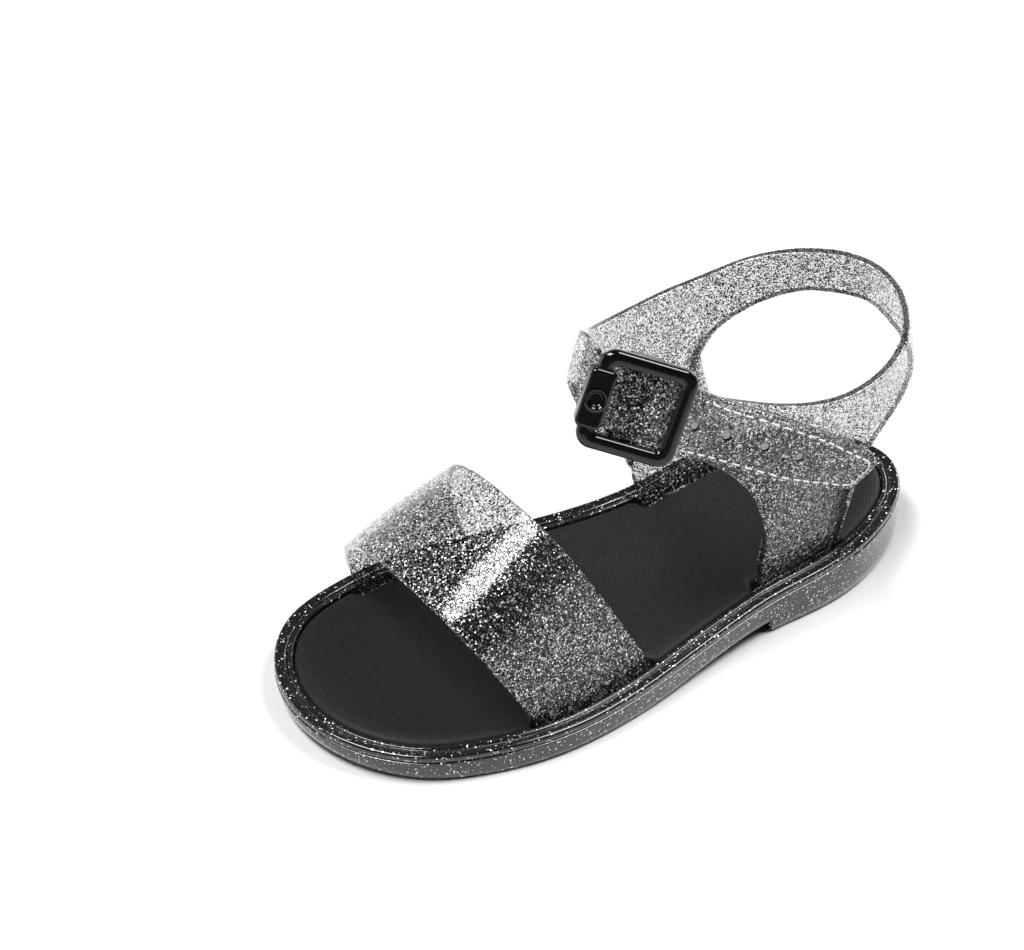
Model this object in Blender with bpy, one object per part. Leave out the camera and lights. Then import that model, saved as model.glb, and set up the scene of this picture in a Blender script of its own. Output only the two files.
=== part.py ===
"""Toddler's jelly sandal for the left foot, fastened, standing empty on its sole.

Axes: X points to the outer side of the foot, the toe points to -Y and the heel to +Y, Z is up.
The origin is the middle of the footprint on the ground. Sizes below are in millimetres and are
turned into metres where a mesh is made.
"""
import math

import bpy
import numpy as np

MM = 0.001

# Footprint: one row per station from toe to heel, with the inner and the outer edge of the sole
FOOTPRINT = (
    # station, inner edge, outer edge
    (-68.0, -23.2, 17.0),
    (-60.0, -29.7, 24.4),
    (-50.0, -32.6, 29.2),
    (-40.0, -33.6, 32.2),
    (-30.0, -33.1, 33.5),
    (-20.0, -30.9, 33.4),
    (-10.0, -27.9, 32.5),
    (0.0, -24.6, 31.1),
    (12.0, -21.2, 29.6),
    (24.0, -19.6, 28.7),
    (36.0, -19.8, 29.0),
    (48.0, -19.3, 28.0),
    (60.0, -15.2, 23.9),
    (68.0, -8.2, 19.0),
)
TOE_TIP = (-1.6, -75.0)
HEEL_TIP = (6.5, 75.0)

# Heights of the sole unit
FOREFOOT_HEIGHT = 7.2
HEEL_HEIGHT = 12.6
RISE_START = -30.0
RISE_LENGTH = 90.0
TOE_SPRING = 2.0
TOE_SPRING_START = -45.0
ARCH_START = -14.0
ARCH_LIFT = 2.8
BREAST = 24.0
HEEL_ROLL = 0.8
HEEL_ROLL_START = 66.0
SOLE_EDGE_SMOOTH_ANGLE = 35.0

# Sole wall, one row per ring from the ground up: how far the ring lies inside the footprint,
# the level that it is measured from, and its height above that level
SOLE_RINGS = (
    # inset, level, height
    (1.60, "base", 0.00),
    (0.55, "base", 0.45),
    (0.20, "base", 1.40),
    (0.00, "crest", -2.30),
    (0.05, "crest", -1.95),
    (0.50, "crest", -1.75),
    (0.10, "crest", -1.50),
    (0.00, "crest", -0.80),
    (0.30, "crest", -0.15),
    (0.80, "crest", 0.00),
    (2.30, "crest", -0.40),
    (2.75, "crest", -0.85),
    (3.05, "crest", -0.50),
    (3.50, "crest", -0.40),
    (3.90, "crest", -0.70),
    (4.00, "crest", -3.60),
)

# Straps and their slot between bead and insole
GAP = 0.3
WALL = 1.9
EDGE_ROUND = 0.45
SLOT_OUTER = 4.0
BAND_FOOT_INSET = SLOT_OUTER + GAP + 0.5 * WALL
SLING_FOOT_INSET = {1: BAND_FOOT_INSET + 0.65, -1: BAND_FOOT_INSET + 1.1}
RECESS_DEPTH = 3.6
FOOT_DEPTH = RECESS_DEPTH - 2.0 * GAP

# Insole, ring rows as for the sole, all measured from the crest
INSOLE_RINGS = (
    # inset, height
    (4.50, -3.30),
    (4.30, -3.00),
    (4.30, -1.40),
    (4.70, -0.70),
    (5.60, -0.30),
    (7.20, -0.10),
)
INSOLE_DISH = 0.6
SLOT_CLEARANCE = 1.8
SLOT_BELOW = 6.0
SLOT_ABOVE = 4.0

# Places of the inner points on a rung across the sole or the insole, and the insole's dish there
RUNG_DISH = {0.2: 0.7, 0.5: 1.0, 0.8: 0.7}

# Toe band: one row per edge
VAMP = (
    # outer foot, peak station, inner foot, peak offset, peak height, squareness
    (-37.6, -52.6, -43.9, 11.0, 34.2, 2.6),
    (-8.2, -29.4, -17.0, 10.0, 47.4, 2.8),
)
VAMP_LEVEL = -0.6
VAMP_WIDTH = 28.0

# Buckle: centre of the strap's outer face under the frame, and the strap's directions there
BUCKLE_CENTRE = np.array([16.5, -5.6, 65.8])
BUCKLE_YAW = math.radians(38.0)
BUCKLE_DIP = math.radians(18.0)
BUCKLE_UP = np.array([-0.08, 0.42, 0.90])
FRAME_LENGTH = 20.4
FRAME_WIDTH = 20.8
BAR_WIDTH = 3.1
BAR_HEIGHT = 2.4
FRAME_SEAT = 0.7
FRAME_CORNER = 3.4
WINDOW_CORNER = 1.4
FRAME_BEVEL = 0.7
WINDOW_BEVEL = 0.8
BEVEL_HEIGHT = 0.9
STRAP_HALF_WIDTH = 7.0
FREE_HALF_WIDTH = 6.5
CHEEK_LENGTH = 7.0
CHEEK_THICKNESS = 1.6
UNDER_BAR_THICKNESS = 1.2
YOKE_BELOW_TOP = 1.2
CLIP_LENGTH = 12.4
CLIP_WALL = 0.9
CLIP_HEIGHT = 3.4
CLIP_DIMPLE = 1.9
CLIP_DIMPLE_DEPTH = 0.5
CLIP_BEVEL = 0.5
CUTTER_EXTRA = 1.0

# Ankle sling, stations on the outer side from the buckle to the heel, then on the inner side
# from the heel to the instep. A row gives the upper edge and the lower edge of the strap. Where
# the lower edge is one number, the strap stands there on the sole at that station.
SIDE_ROWS = (
    # upper x, y, z, lower x, y, z
    ((20.6, 11.2, 63.6), (20.2, 8.0, 49.1)),
    ((22.8, 17.2, 60.9), (22.6, 14.0, 44.3)),
    ((25.0, 22.6, 59.2), (24.7, 19.2, 37.0)),
    ((26.6, 27.2, 58.1), (25.6, 22.4, 26.6)),
    ((27.8, 31.2, 57.4), 24.2),
    ((28.8, 36.2, 57.0), 35.0),
    ((29.1, 41.2, 57.0), 45.8),
    ((28.8, 46.0, 57.5), (27.0, 42.2, 20.2)),
    ((27.8, 51.0, 58.3), (28.3, 42.2, 30.2)),
    ((25.6, 56.2, 59.1), (28.5, 46.1, 38.8)),
    ((21.9, 61.4, 59.9), (27.0, 54.2, 44.9)),
    ((16.0, 66.4, 60.3), (21.9, 63.8, 48.5)),
    ((9.1, 70.0, 60.8), (11.4, 70.8, 49.6)),
    ((2.2, 70.4, 61.9), (0.2, 72.2, 51.0)),
    ((-4.6, 66.6, 63.0), (-10.8, 66.0, 50.8)),
    ((-11.6, 59.8, 62.6), (-18.6, 54.8, 47.2)),
    ((-17.9, 53.2, 60.2), (-21.8, 44.4, 40.0)),
    ((-21.4, 47.8, 57.6), (-21.0, 39.6, 31.4)),
    ((-23.2, 42.4, 56.0), (-19.0, 40.2, 22.0)),
    ((-24.4, 36.6, 55.1), 45.8),
    ((-24.8, 30.6, 54.5), 34.0),
    ((-24.2, 24.2, 54.5), 22.6),
    ((-22.6, 16.8, 55.3), (-17.4, 20.4, 19.6)),
    ((-19.0, 9.3, 57.9), (-16.4, 15.2, 28.8)),
    ((-13.6, 4.6, 62.6), (-12.8, 9.6, 36.8)),
    ((-7.0, -0.4, 68.6), (-7.6, 2.0, 46.6)),
    ((-1.0, -5.0, 73.8), (-2.0, -5.6, 56.8)),
    ((4.2, -9.2, 77.8), (3.4, -11.9, 66.4)),
)

# The sling's first rows, along the bar under the buckle, and its last row, where it turns over at the
# front, both in the buckle's own directions. BOW is how far a rib bows out, as a share of its length.
INNER_BAR = (-5.0, 2.0, 9.0)
TURN = {"along": -11.0, "across": 2.6, "out": -1.6, "half_width": 6.4}
BOW = 0.02
RIB_STEP = 0.05

# Free end of the strap on the outer side: middle line and half width, seen from the side
FREE_END = (
    # y, z, half width
    (8.4, 57.8, 7.0),
    (18.4, 52.2, 7.0),
    (25.0, 48.3, 6.8),
    (32.0, 44.0, 6.3),
    (38.0, 40.2, 5.5),
    (44.1, 36.6, 4.7),
)
FREE_END_ROUND = 3.0
FREE_END_TIP = 0.55
FREE_END_CLEARANCE = 0.5
FREE_END_SPREAD = 2.0
FREE_END_LIFT = 2.0
FREE_END_LIFT_START = 33.0
PANEL_STATIONS = 13.0


def smoothstep(value):
    """Goes from 0 to 1 with level ends."""
    value = np.clip(value, 0.0, 1.0)
    return value * value * (3.0 - 2.0 * value)


def even_slopes(knots, values):
    """Slopes of the smoothest cubic curve through the values, with relaxed ends."""
    count = len(knots)
    gap = np.diff(knots)
    rise = np.diff(values, axis=0) / gap[:, None]
    matrix = np.zeros((count, count))
    right = np.zeros_like(values, dtype=float)
    matrix[0, :2] = (2.0, 1.0)
    right[0] = 3.0 * rise[0]
    matrix[-1, -2:] = (1.0, 2.0)
    right[-1] = 3.0 * rise[-1]
    for i in range(1, count - 1):
        matrix[i, i - 1:i + 2] = (gap[i], 2.0 * (gap[i - 1] + gap[i]), gap[i - 1])
        right[i] = 3.0 * (gap[i] * rise[i - 1] + gap[i - 1] * rise[i])
    return np.linalg.solve(matrix, right)


def held_slopes(knots, values):
    """Slopes that never let the curve pass beyond a turning value, for edges with corners."""
    gap = np.diff(knots)[:, None]
    rise = np.diff(values, axis=0) / gap
    slopes = np.zeros_like(values, dtype=float)
    product = rise[:-1] * rise[1:]
    weight_1 = 2.0 * gap[1:] + gap[:-1]
    weight_2 = gap[1:] + 2.0 * gap[:-1]
    safe = np.where(product > 0.0, product, 1.0)
    mean = (weight_1 + weight_2) * safe / (weight_1 * rise[1:] + weight_2 * rise[:-1] + 1e-12)
    slopes[1:-1] = np.where(product > 0.0, mean, 0.0)
    slopes[0] = rise[0]
    slopes[-1] = rise[-1]
    return slopes


def curve_at(knots, values, slopes, where):
    """Cubic Hermite curve at the parameters in where."""
    index = np.clip(np.searchsorted(knots, where, side="right") - 1, 0, len(knots) - 2)
    gap = knots[index + 1] - knots[index]
    t = ((where - knots[index]) / gap)[:, None]
    gap = gap[:, None]
    start, end = values[index], values[index + 1]
    lead, trail = slopes[index] * gap, slopes[index + 1] * gap
    return (
        start * (1 + 2 * t) * (1 - t) ** 2
        + lead * t * (1 - t) ** 2
        + end * t * t * (3 - 2 * t)
        + trail * t * t * (t - 1)
    )


def chord_knots(points):
    """Curve parameter that grows with the distance between the points."""
    steps = np.linalg.norm(np.diff(points, axis=0), axis=1)
    return np.concatenate([[0.0], np.cumsum(steps)])


def make_footprint():
    """Dense outline from the toe tip along the outer side to the heel, and back inside."""
    outer = [(lateral, y) for y, medial, lateral in FOOTPRINT]
    inner = [(medial, y) for y, medial, lateral in reversed(FOOTPRINT)]
    loop = np.array([TOE_TIP] + outer + [HEEL_TIP] + inner, float)
    count = len(loop)
    wrapped = np.vstack([loop, loop, loop, loop[:1]])
    knots = chord_knots(wrapped)
    slopes = even_slopes(knots, wrapped)
    start, heel, end = knots[count], knots[count + len(outer) + 1], knots[2 * count]
    dense = []
    for a, b in ((start, heel), (heel, end)):
        dense.append(curve_at(knots, wrapped, slopes, np.linspace(a, b, 601)[:-1]))
    return np.vstack(dense)


OUTLINE = make_footprint()
HALF = len(OUTLINE) // 2


def outline_normals():
    """Unit vectors that point out of the footprint."""
    ahead = np.roll(OUTLINE, -1, axis=0) - np.roll(OUTLINE, 1, axis=0)
    ahead /= np.linalg.norm(ahead, axis=1)[:, None]
    return np.column_stack([ahead[:, 1], -ahead[:, 0]])


NORMALS = outline_normals()


def crest_height(y):
    """Height of the rim's lip above the ground."""
    rise = HEEL_HEIGHT - FOREFOOT_HEIGHT
    return FOREFOOT_HEIGHT + rise * smoothstep((y - RISE_START) / RISE_LENGTH)


def base_height(y):
    """Height of the sole's underside: toe spring, tread, arch, heel block, rolled heel."""
    toe = np.clip((TOE_SPRING_START - y) / (TOE_SPRING_START - TOE_TIP[1]), 0.0, 1.0)
    heel = np.clip((y - HEEL_ROLL_START) / (HEEL_TIP[1] - HEEL_ROLL_START), 0.0, 1.0)
    arch = smoothstep((y - ARCH_START) / (BREAST - ARCH_START)) * (y < BREAST)
    return TOE_SPRING * toe ** 2 + HEEL_ROLL * heel ** 2 + ARCH_LIFT * arch


def side_samples(count_front, count_heel):
    """Outline indices from toe to heel on each side, split at the front of the heel block."""
    sides = []
    for half in (np.arange(0, HALF + 1), np.arange(2 * HALF, HALF - 1, -1)):
        half = half % (2 * HALF)
        y = OUTLINE[half, 1]
        split = int(np.argmin(np.abs(y - BREAST)))
        front = np.linspace(0, split - 1, count_front)
        back = np.linspace(split + 1, HALF, count_heel)
        sides.append(half[np.round(np.concatenate([front, back])).astype(int)])
    return sides[0], sides[1]


LATERAL, MEDIAL = side_samples(26, 14)


def ring(inset):
    """Closed ring of plan points, toe to heel outside and back inside, moved in from the edge."""
    index = np.concatenate([LATERAL, MEDIAL[-2:0:-1]])
    return OUTLINE[index] - NORMALS[index] * inset


def rim_line(inset):
    """Plan points of the outer and inner side at an inset, sorted from toe to heel."""
    line = OUTLINE - NORMALS * inset
    return line[:HALF], line[HALF:][::-1]


def rim_point(side, y, inset):
    """Plan x of the rim at station y: side 1 is the outer side, -1 the inner side."""
    outer, inner = rim_line(inset)
    line = outer if side > 0 else inner
    return float(np.interp(y, line[:, 1], line[:, 0]))


def capped_loops(rings, caps):
    """Faces between matching rings, with straight rungs across the first and the last ring.

    caps holds, for each end, a function that lifts the point at a share of its rung.
    """
    count = len(rings[0])
    half = count // 2
    vertices = [point for loop in rings for point in loop]
    faces = []
    for k in range(len(rings) - 1):
        a, b = k * count, (k + 1) * count
        for i in range(count):
            j = (i + 1) % count
            faces.append((a + i, a + j, b + j, b + i))
    for end, lift in zip((0, len(rings) - 1), caps):
        rungs = []
        for i in range(1, half):
            left = end * count + i
            right = end * count + count - i
            a, b = np.array(vertices[left]), np.array(vertices[right])
            rung = [left]
            for share in RUNG_DISH:
                point = a + (b - a) * share
                point[2] += lift(share)
                rung.append(len(vertices))
                vertices.append(tuple(point))
            rung.append(right)
            rungs.append(rung)
        patch = []
        for first, second in zip(rungs[:-1], rungs[1:]):
            for m in range(len(first) - 1):
                patch.append((first[m], second[m], second[m + 1], first[m + 1]))
        toe, heel = end * count, end * count + half
        for m in range(len(rungs[0]) - 1):
            patch.append((toe, rungs[0][m], rungs[0][m + 1]))
            patch.append((heel, rungs[-1][m + 1], rungs[-1][m]))
        if end:
            patch = [face[::-1] for face in patch]
        faces += [face[::-1] for face in patch]
    return vertices, faces


def make_object(name, vertices, faces, material, smooth_angle=40.0):
    """Mesh object from points in millimetres, with outward faces and smooth shading."""
    mesh = bpy.data.meshes.new(name)
    mesh.from_pydata([tuple(MM * float(c) for c in point) for point in vertices], [], faces)
    mesh.validate()
    mesh.update()
    obj = bpy.data.objects.new(name, mesh)
    bpy.context.scene.collection.objects.link(obj)
    bpy.context.view_layer.objects.active = obj
    point_faces_out(mesh)
    mesh.shade_smooth()
    mesh.set_sharp_from_angle(angle=math.radians(smooth_angle))
    if material is not None:
        mesh.materials.append(material)
    return obj


def point_faces_out(mesh):
    """Turns the whole mesh round when its volume is negative."""
    volume = 0.0
    corners = [vertex.co.copy() for vertex in mesh.vertices]
    for face in mesh.polygons:
        ids = list(face.vertices)
        for k in range(1, len(ids) - 1):
            volume += corners[ids[0]].dot(corners[ids[k]].cross(corners[ids[k + 1]]))
    if volume < 0.0:
        mesh.flip_normals()


def make_material(name, colour, roughness, metallic=0.0):
    """Plain shaded material."""
    material = bpy.data.materials.new(name)
    material.use_nodes = True
    shader = material.node_tree.nodes["Principled BSDF"]
    shader.inputs["Base Color"].default_value = (*colour, 1.0)
    shader.inputs["Roughness"].default_value = roughness
    shader.inputs["Metallic"].default_value = metallic
    return material


def cut(target, cutter):
    """Subtracts a cutter, which stays in the file as a wire guide."""
    modifier = target.modifiers.new(cutter.name, "BOOLEAN")
    modifier.operation = "DIFFERENCE"
    modifier.solver = "EXACT"
    modifier.object = cutter
    cutter.hide_render = True
    cutter.display_type = "WIRE"


def join(target, addition):
    """Adds a second closed shape to the target."""
    modifier = target.modifiers.new(addition.name, "BOOLEAN")
    modifier.operation = "UNION"
    modifier.solver = "EXACT"
    modifier.object = addition
    addition.hide_render = True
    addition.display_type = "WIRE"


def build_outsole(material):
    """Moulded sole unit: side wall, groove, lip, channel, bead and recess."""
    rings = []
    for inset, level, height in SOLE_RINGS:
        plan = ring(inset)
        base = base_height(plan[:, 1]) if level == "base" else crest_height(plan[:, 1])
        rings.append([tuple(p) for p in np.column_stack([plan, base + height])])
    vertices, faces = capped_loops(rings, (lambda share: 0.0, lambda share: 0.0))
    return make_object("outsole", vertices, faces, material, SOLE_EDGE_SMOOTH_ANGLE)


def slot_cutter(name, side, first, last, foot_inset):
    """Block along the rim that clears the foot of a strap out of the insole."""
    stations = np.linspace(first - SLOT_CLEARANCE, last + SLOT_CLEARANCE, 12)
    past_edge = SLOT_OUTER - 1.0
    vertices = []
    for y in stations:
        near = rim_point(side, y, past_edge)
        far = rim_point(side, y, foot_inset + 0.5 * WALL + GAP)
        level = float(crest_height(y))
        low, high = level - SLOT_BELOW, level + SLOT_ABOVE
        vertices += [(near, y, low), (far, y, low), (far, y, high), (near, y, high)]
    faces = [(0, 1, 2, 3), tuple(len(vertices) - k for k in (1, 2, 3, 4))]
    for i in range(len(stations) - 1):
        a = 4 * i
        for k in range(4):
            m = (k + 1) % 4
            faces.append((a + k, a + 4 + k, a + 4 + m, a + m))
    return make_object(name, vertices, faces, None)


def build_insole(material, feet):
    """Footbed with soft edges, slightly dished, cut away where straps go down."""
    rings = []
    for inset, height in INSOLE_RINGS:
        plan = ring(inset)
        rings.append([tuple(p) for p in np.column_stack([plan, crest_height(plan[:, 1]) + height])])
    caps = (lambda share: 0.0, lambda share: -INSOLE_DISH * RUNG_DISH[share])
    vertices, faces = capped_loops(rings, caps)
    insole = make_object("insole", vertices, faces, material, SOLE_EDGE_SMOOTH_ANGLE)
    for number, foot in enumerate(feet):
        cut(insole, slot_cutter(f"slot_cutter_{number}", *foot))
    return insole


def grid_normals(grid):
    """Unit normals of a grid of points, rows along the strap and columns across it."""
    along = np.gradient(grid, axis=0)
    across = np.gradient(grid, axis=1)
    normal = np.cross(along, across)
    return normal / np.linalg.norm(normal, axis=2)[:, :, None]


def strap_solid(name, grid, material, flip=1.0):
    """Wall of even thickness round a middle surface, with rounded long edges."""
    normal = grid_normals(grid) * flip
    offset = np.full(grid.shape[1], 0.5 * WALL)
    offset[0] = offset[-1] = 0.5 * WALL - EDGE_ROUND
    outer = grid + normal * offset[None, :, None]
    inner = grid - normal * offset[None, :, None]
    loops = np.concatenate([outer, inner[:, ::-1]], axis=1)
    rows, count = loops.shape[:2]
    faces = []
    for i in range(rows - 1):
        a, b = i * count, (i + 1) * count
        for k in range(count):
            m = (k + 1) % count
            faces.append((a + k, a + m, b + m, b + k))
    columns = grid.shape[1]
    for start, turn in ((0, 1), ((rows - 1) * count, -1)):
        for k in range(columns - 1):
            face = (start + k, start + count - 1 - k, start + count - 2 - k, start + k + 1)
            faces.append(face[::turn])
    return make_object(name, loops.reshape(-1, 3), faces, material)


def shares_across(length, columns):
    """Positions across a strap from 0 to 1, with a narrow first and last step for the edges."""
    step = EDGE_ROUND / length
    return np.concatenate([[0.0], np.linspace(step, 1.0 - step, columns - 2), [1.0]])


def vamp_row(share, angle):
    """Point of the toe band at a share from front edge to rear edge and an angle over the foot."""
    front, rear = np.array(VAMP[0]), np.array(VAMP[1])
    outer_y, peak_y, inner_y, peak_x, peak_z, square = front + (rear - front) * share
    side = 1 if math.cos(angle) >= 0.0 else -1
    foot_y = outer_y if side > 0 else inner_y
    foot_x = rim_point(side, foot_y, BAND_FOOT_INSET)
    foot_z = float(crest_height(foot_y)) + VAMP_LEVEL
    spread = abs(math.cos(angle)) ** (2.0 / square)
    lift = max(math.sin(angle), 0.0) ** (2.0 / square)
    return (
        peak_x + (foot_x - peak_x) * spread,
        peak_y + (foot_y - peak_y) * (1.0 - lift),
        foot_z + (peak_z - foot_z) * lift,
    )


def build_vamp(material):
    """Wide band over the toes, its two feet standing in the slot."""
    shares = shares_across(VAMP_WIDTH, 8)
    angles = np.linspace(0.0, math.pi, 37)
    grid = np.array([[vamp_row(share, angle) for share in shares] for angle in angles])
    into_slot = np.array([0.0, 0.0, -VAMP_LEVEL - FOOT_DEPTH])
    grid = np.concatenate([grid[:1] + into_slot, grid, grid[-1:] + into_slot])
    return strap_solid("vamp_band", grid, material)


def buckle_axes():
    """Directions at the buckle: along the strap, across it upwards, and outwards."""
    along = np.array([
        math.cos(BUCKLE_DIP) * math.sin(BUCKLE_YAW),
        math.cos(BUCKLE_DIP) * math.cos(BUCKLE_YAW),
        -math.sin(BUCKLE_DIP),
    ])
    across = BUCKLE_UP - along * BUCKLE_UP.dot(along)
    across /= np.linalg.norm(across)
    return along, across, np.cross(along, across)


ALONG, ACROSS, OUT = buckle_axes()


def buckle_point(along, across, out):
    """Point given in the buckle's own directions."""
    return BUCKLE_CENTRE + ALONG * along + ACROSS * across + OUT * out


def sling_edges():
    """Upper and lower edge rows of the sling from the inner bar to the turn at the front."""
    rows = []
    out = -1.5 * WALL - GAP
    for along in INNER_BAR:
        rows.append(tuple(buckle_point(along, level, out) for level in (STRAP_HALF_WIDTH, -STRAP_HALF_WIDTH)))
    for upper, lower in SIDE_ROWS:
        if isinstance(lower, float):
            side = 1 if upper[0] > 0.0 else -1
            x = rim_point(side, lower, SLING_FOOT_INSET[side])
            lower = (x, lower, float(crest_height(lower)) - FOOT_DEPTH)
        rows.append((np.array(upper), np.array(lower)))
    top, bottom = TURN["across"] + TURN["half_width"], TURN["across"] - TURN["half_width"]
    rows.append(tuple(buckle_point(TURN["along"], level, TURN["out"]) for level in (top, bottom)))
    return np.array([r[0] for r in rows]), np.array([r[1] for r in rows])


UPPER_EDGE, LOWER_EDGE = sling_edges()
KNOTS = np.arange(len(UPPER_EDGE), dtype=float)
UPPER_SLOPES = even_slopes(KNOTS, UPPER_EDGE)
LOWER_SLOPES = held_slopes(KNOTS, LOWER_EDGE)


def sling_surface(station, share):
    """Middle surface of the sling: straight ribs between its edges, bowed a little outwards."""
    upper = curve_at(KNOTS, UPPER_EDGE, UPPER_SLOPES, station)
    lower = curve_at(KNOTS, LOWER_EDGE, LOWER_SLOPES, station)
    ahead = curve_at(KNOTS, UPPER_EDGE, UPPER_SLOPES, np.minimum(station + RIB_STEP, KNOTS[-1]))
    behind = curve_at(KNOTS, UPPER_EDGE, UPPER_SLOPES, np.maximum(station - RIB_STEP, 0.0))
    rib = lower - upper
    out = np.cross(rib, ahead - behind)
    out /= np.linalg.norm(out, axis=1)[:, None]
    length = np.linalg.norm(rib, axis=1)
    bow = BOW * length * 4.0 * share * (1.0 - share)
    return upper + rib * share[:, None] + out * bow[:, None]


def over_panel(y, z):
    """Face one wall and a gap clear of the side panel, read at y and z.

    Each place takes a plane fitted to the panel's points round it, near ones counting most, so the
    face is smooth and runs on straight past the panel's rear edge.
    """
    lines, ribs = np.linspace(0.0, PANEL_STATIONS, 131), np.linspace(0.0, 1.0, 41)
    station, share = np.meshgrid(lines, ribs, indexing="ij")
    grid = sling_surface(station.ravel(), share.ravel()).reshape(*station.shape, 3)
    points = (grid - grid_normals(grid) * (WALL + FREE_END_CLEARANCE)).reshape(-1, 3)
    found = []
    for where in np.column_stack([y, z]):
        away = points[:, 1:] - where
        weight = np.exp(-0.5 * (away ** 2).sum(axis=1) / FREE_END_SPREAD ** 2)
        weight /= weight.sum()
        terms = np.column_stack([np.ones(len(away)), away])
        weighted = terms.T * weight
        found.append(np.linalg.solve(weighted @ terms, weighted @ points[:, 0])[0])
    return np.array(found)


def free_end_grid(columns):
    """Middle surface of the strap's outer layer, one wall and a gap above the side panel."""
    start = buckle_point(INNER_BAR[0] + 0.5, 0.0, 0.0)
    middle = buckle_point(INNER_BAR[2] - 1.0, 0.0, 0.0)
    rows = [(start[1], start[2], FREE_HALF_WIDTH), (middle[1], middle[2], FREE_HALF_WIDTH)]
    table = np.array(rows + list(FREE_END))
    knots = chord_knots(table[:, :2])
    slopes = even_slopes(knots, table)
    ends = np.linspace(knots[0], knots[-1] - FREE_END_ROUND, 26)
    tip = knots[-1] - FREE_END_ROUND * np.array([0.6, 0.3, 0.12, 0.0])
    where = np.concatenate([ends, tip])
    line = curve_at(knots, table, slopes, where)
    ahead = curve_at(knots, table, slopes, where + 0.01) - line
    ahead = ahead[:, :2] / np.linalg.norm(ahead[:, :2], axis=1)[:, None]
    left = np.clip((where - ends[-1]) / FREE_END_ROUND, 0.0, 1.0)
    width = line[:, 2] * (FREE_END_TIP + (1.0 - FREE_END_TIP) * np.sqrt(1.0 - left ** 2))
    rise = FREE_END[-1][0] - FREE_END_LIFT_START
    grid = []
    for share in shares_across(2.0 * STRAP_HALF_WIDTH, columns):
        reach = width * (1.0 - 2.0 * share)
        y = line[:, 0] - ahead[:, 1] * reach
        z = line[:, 1] + ahead[:, 0] * reach
        lift = FREE_END_LIFT * smoothstep((y - FREE_END_LIFT_START) / rise)
        grid.append(np.column_stack([over_panel(y, z) + lift, y, z]))
    return np.array(grid).transpose(1, 0, 2)


def build_sling(material):
    """One moulded strap from the bar under the buckle round the ankle to the free end."""
    columns = 7
    last = KNOTS[-1]
    stations = np.linspace(0.0, last, int(3 * last) + 1)
    grid = []
    for station in stations:
        here = np.full(columns, station)
        upper = curve_at(KNOTS, UPPER_EDGE, UPPER_SLOPES, here[:1])[0]
        lower = curve_at(KNOTS, LOWER_EDGE, LOWER_SLOPES, here[:1])[0]
        grid.append(sling_surface(here, shares_across(np.linalg.norm(lower - upper), columns)))
    grid = np.concatenate([np.array(grid), free_end_grid(columns)])
    return strap_solid("ankle_sling", grid, material, -1.0)


def rounded_ring(half_length, half_width, corner, out, per_corner=6):
    """Rounded rectangle in the buckle's plane, anticlockwise seen from outside."""
    points = []
    for quarter in range(4):
        sx = (1, -1, -1, 1)[quarter]
        sy = (1, 1, -1, -1)[quarter]
        for k in range(per_corner):
            angle = math.pi / 2.0 * (quarter + k / (per_corner - 1))
            a = sx * (half_length - corner) + corner * math.cos(angle)
            b = sy * (half_width - corner) + corner * math.sin(angle)
            points.append(tuple(buckle_point(a, b, out)))
    return points


def buckle_box(name, along, across, out, material=None):
    """Plain block in the buckle's own directions."""
    vertices = [tuple(buckle_point(a, b, c)) for a in along for b in across for c in out]
    faces = [(0, 1, 3, 2), (4, 6, 7, 5), (0, 4, 5, 1), (2, 3, 7, 6), (0, 2, 6, 4), (1, 5, 7, 3)]
    return make_object(name, vertices, faces, material)


def build_frame(material):
    """Square frame with raised bars, two cheeks and a bar under both strap layers."""
    length, width = 0.5 * FRAME_LENGTH, 0.5 * FRAME_WIDTH
    inner_length, inner_width = length - BAR_WIDTH, width - BAR_WIDTH
    low, high = FRAME_SEAT, FRAME_SEAT + BAR_HEIGHT
    loops = [
        rounded_ring(length, width, FRAME_CORNER, low),
        rounded_ring(length, width, FRAME_CORNER, high - BEVEL_HEIGHT),
        rounded_ring(length - FRAME_BEVEL, width - FRAME_BEVEL, FRAME_CORNER - FRAME_BEVEL, high),
        rounded_ring(
            inner_length + WINDOW_BEVEL, inner_width + WINDOW_BEVEL, WINDOW_CORNER + WINDOW_BEVEL, high
        ),
        rounded_ring(inner_length, inner_width, WINDOW_CORNER, high - BEVEL_HEIGHT),
        rounded_ring(inner_length, inner_width, WINDOW_CORNER, low),
    ]
    count = len(loops[0])
    vertices = [point for loop in loops for point in loop]
    faces = []
    for k in range(len(loops)):
        a, b = k * count, ((k + 1) % len(loops)) * count
        for i in range(count):
            j = (i + 1) % count
            faces.append((a + i, a + j, b + j, b + i))
    frame = make_object("buckle_frame", vertices, faces, material)
    reach = STRAP_HALF_WIDTH + 2.0 * GAP
    wide = reach + CHEEK_THICKNESS
    under = -2.0 * WALL - 2.0 * GAP
    half = 0.5 * CHEEK_LENGTH
    bottom, top = under - UNDER_BAR_THICKNESS, high - YOKE_BELOW_TOP
    yoke = buckle_box("frame_yoke", (-half, half), (-wide, wide), (bottom, top))
    room = (-half - CUTTER_EXTRA, half + CUTTER_EXTRA)
    cut(yoke, buckle_box("yoke_cutter", room, (-reach, reach), (under, top + CUTTER_EXTRA)))
    join(frame, yoke)
    return frame


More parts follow.
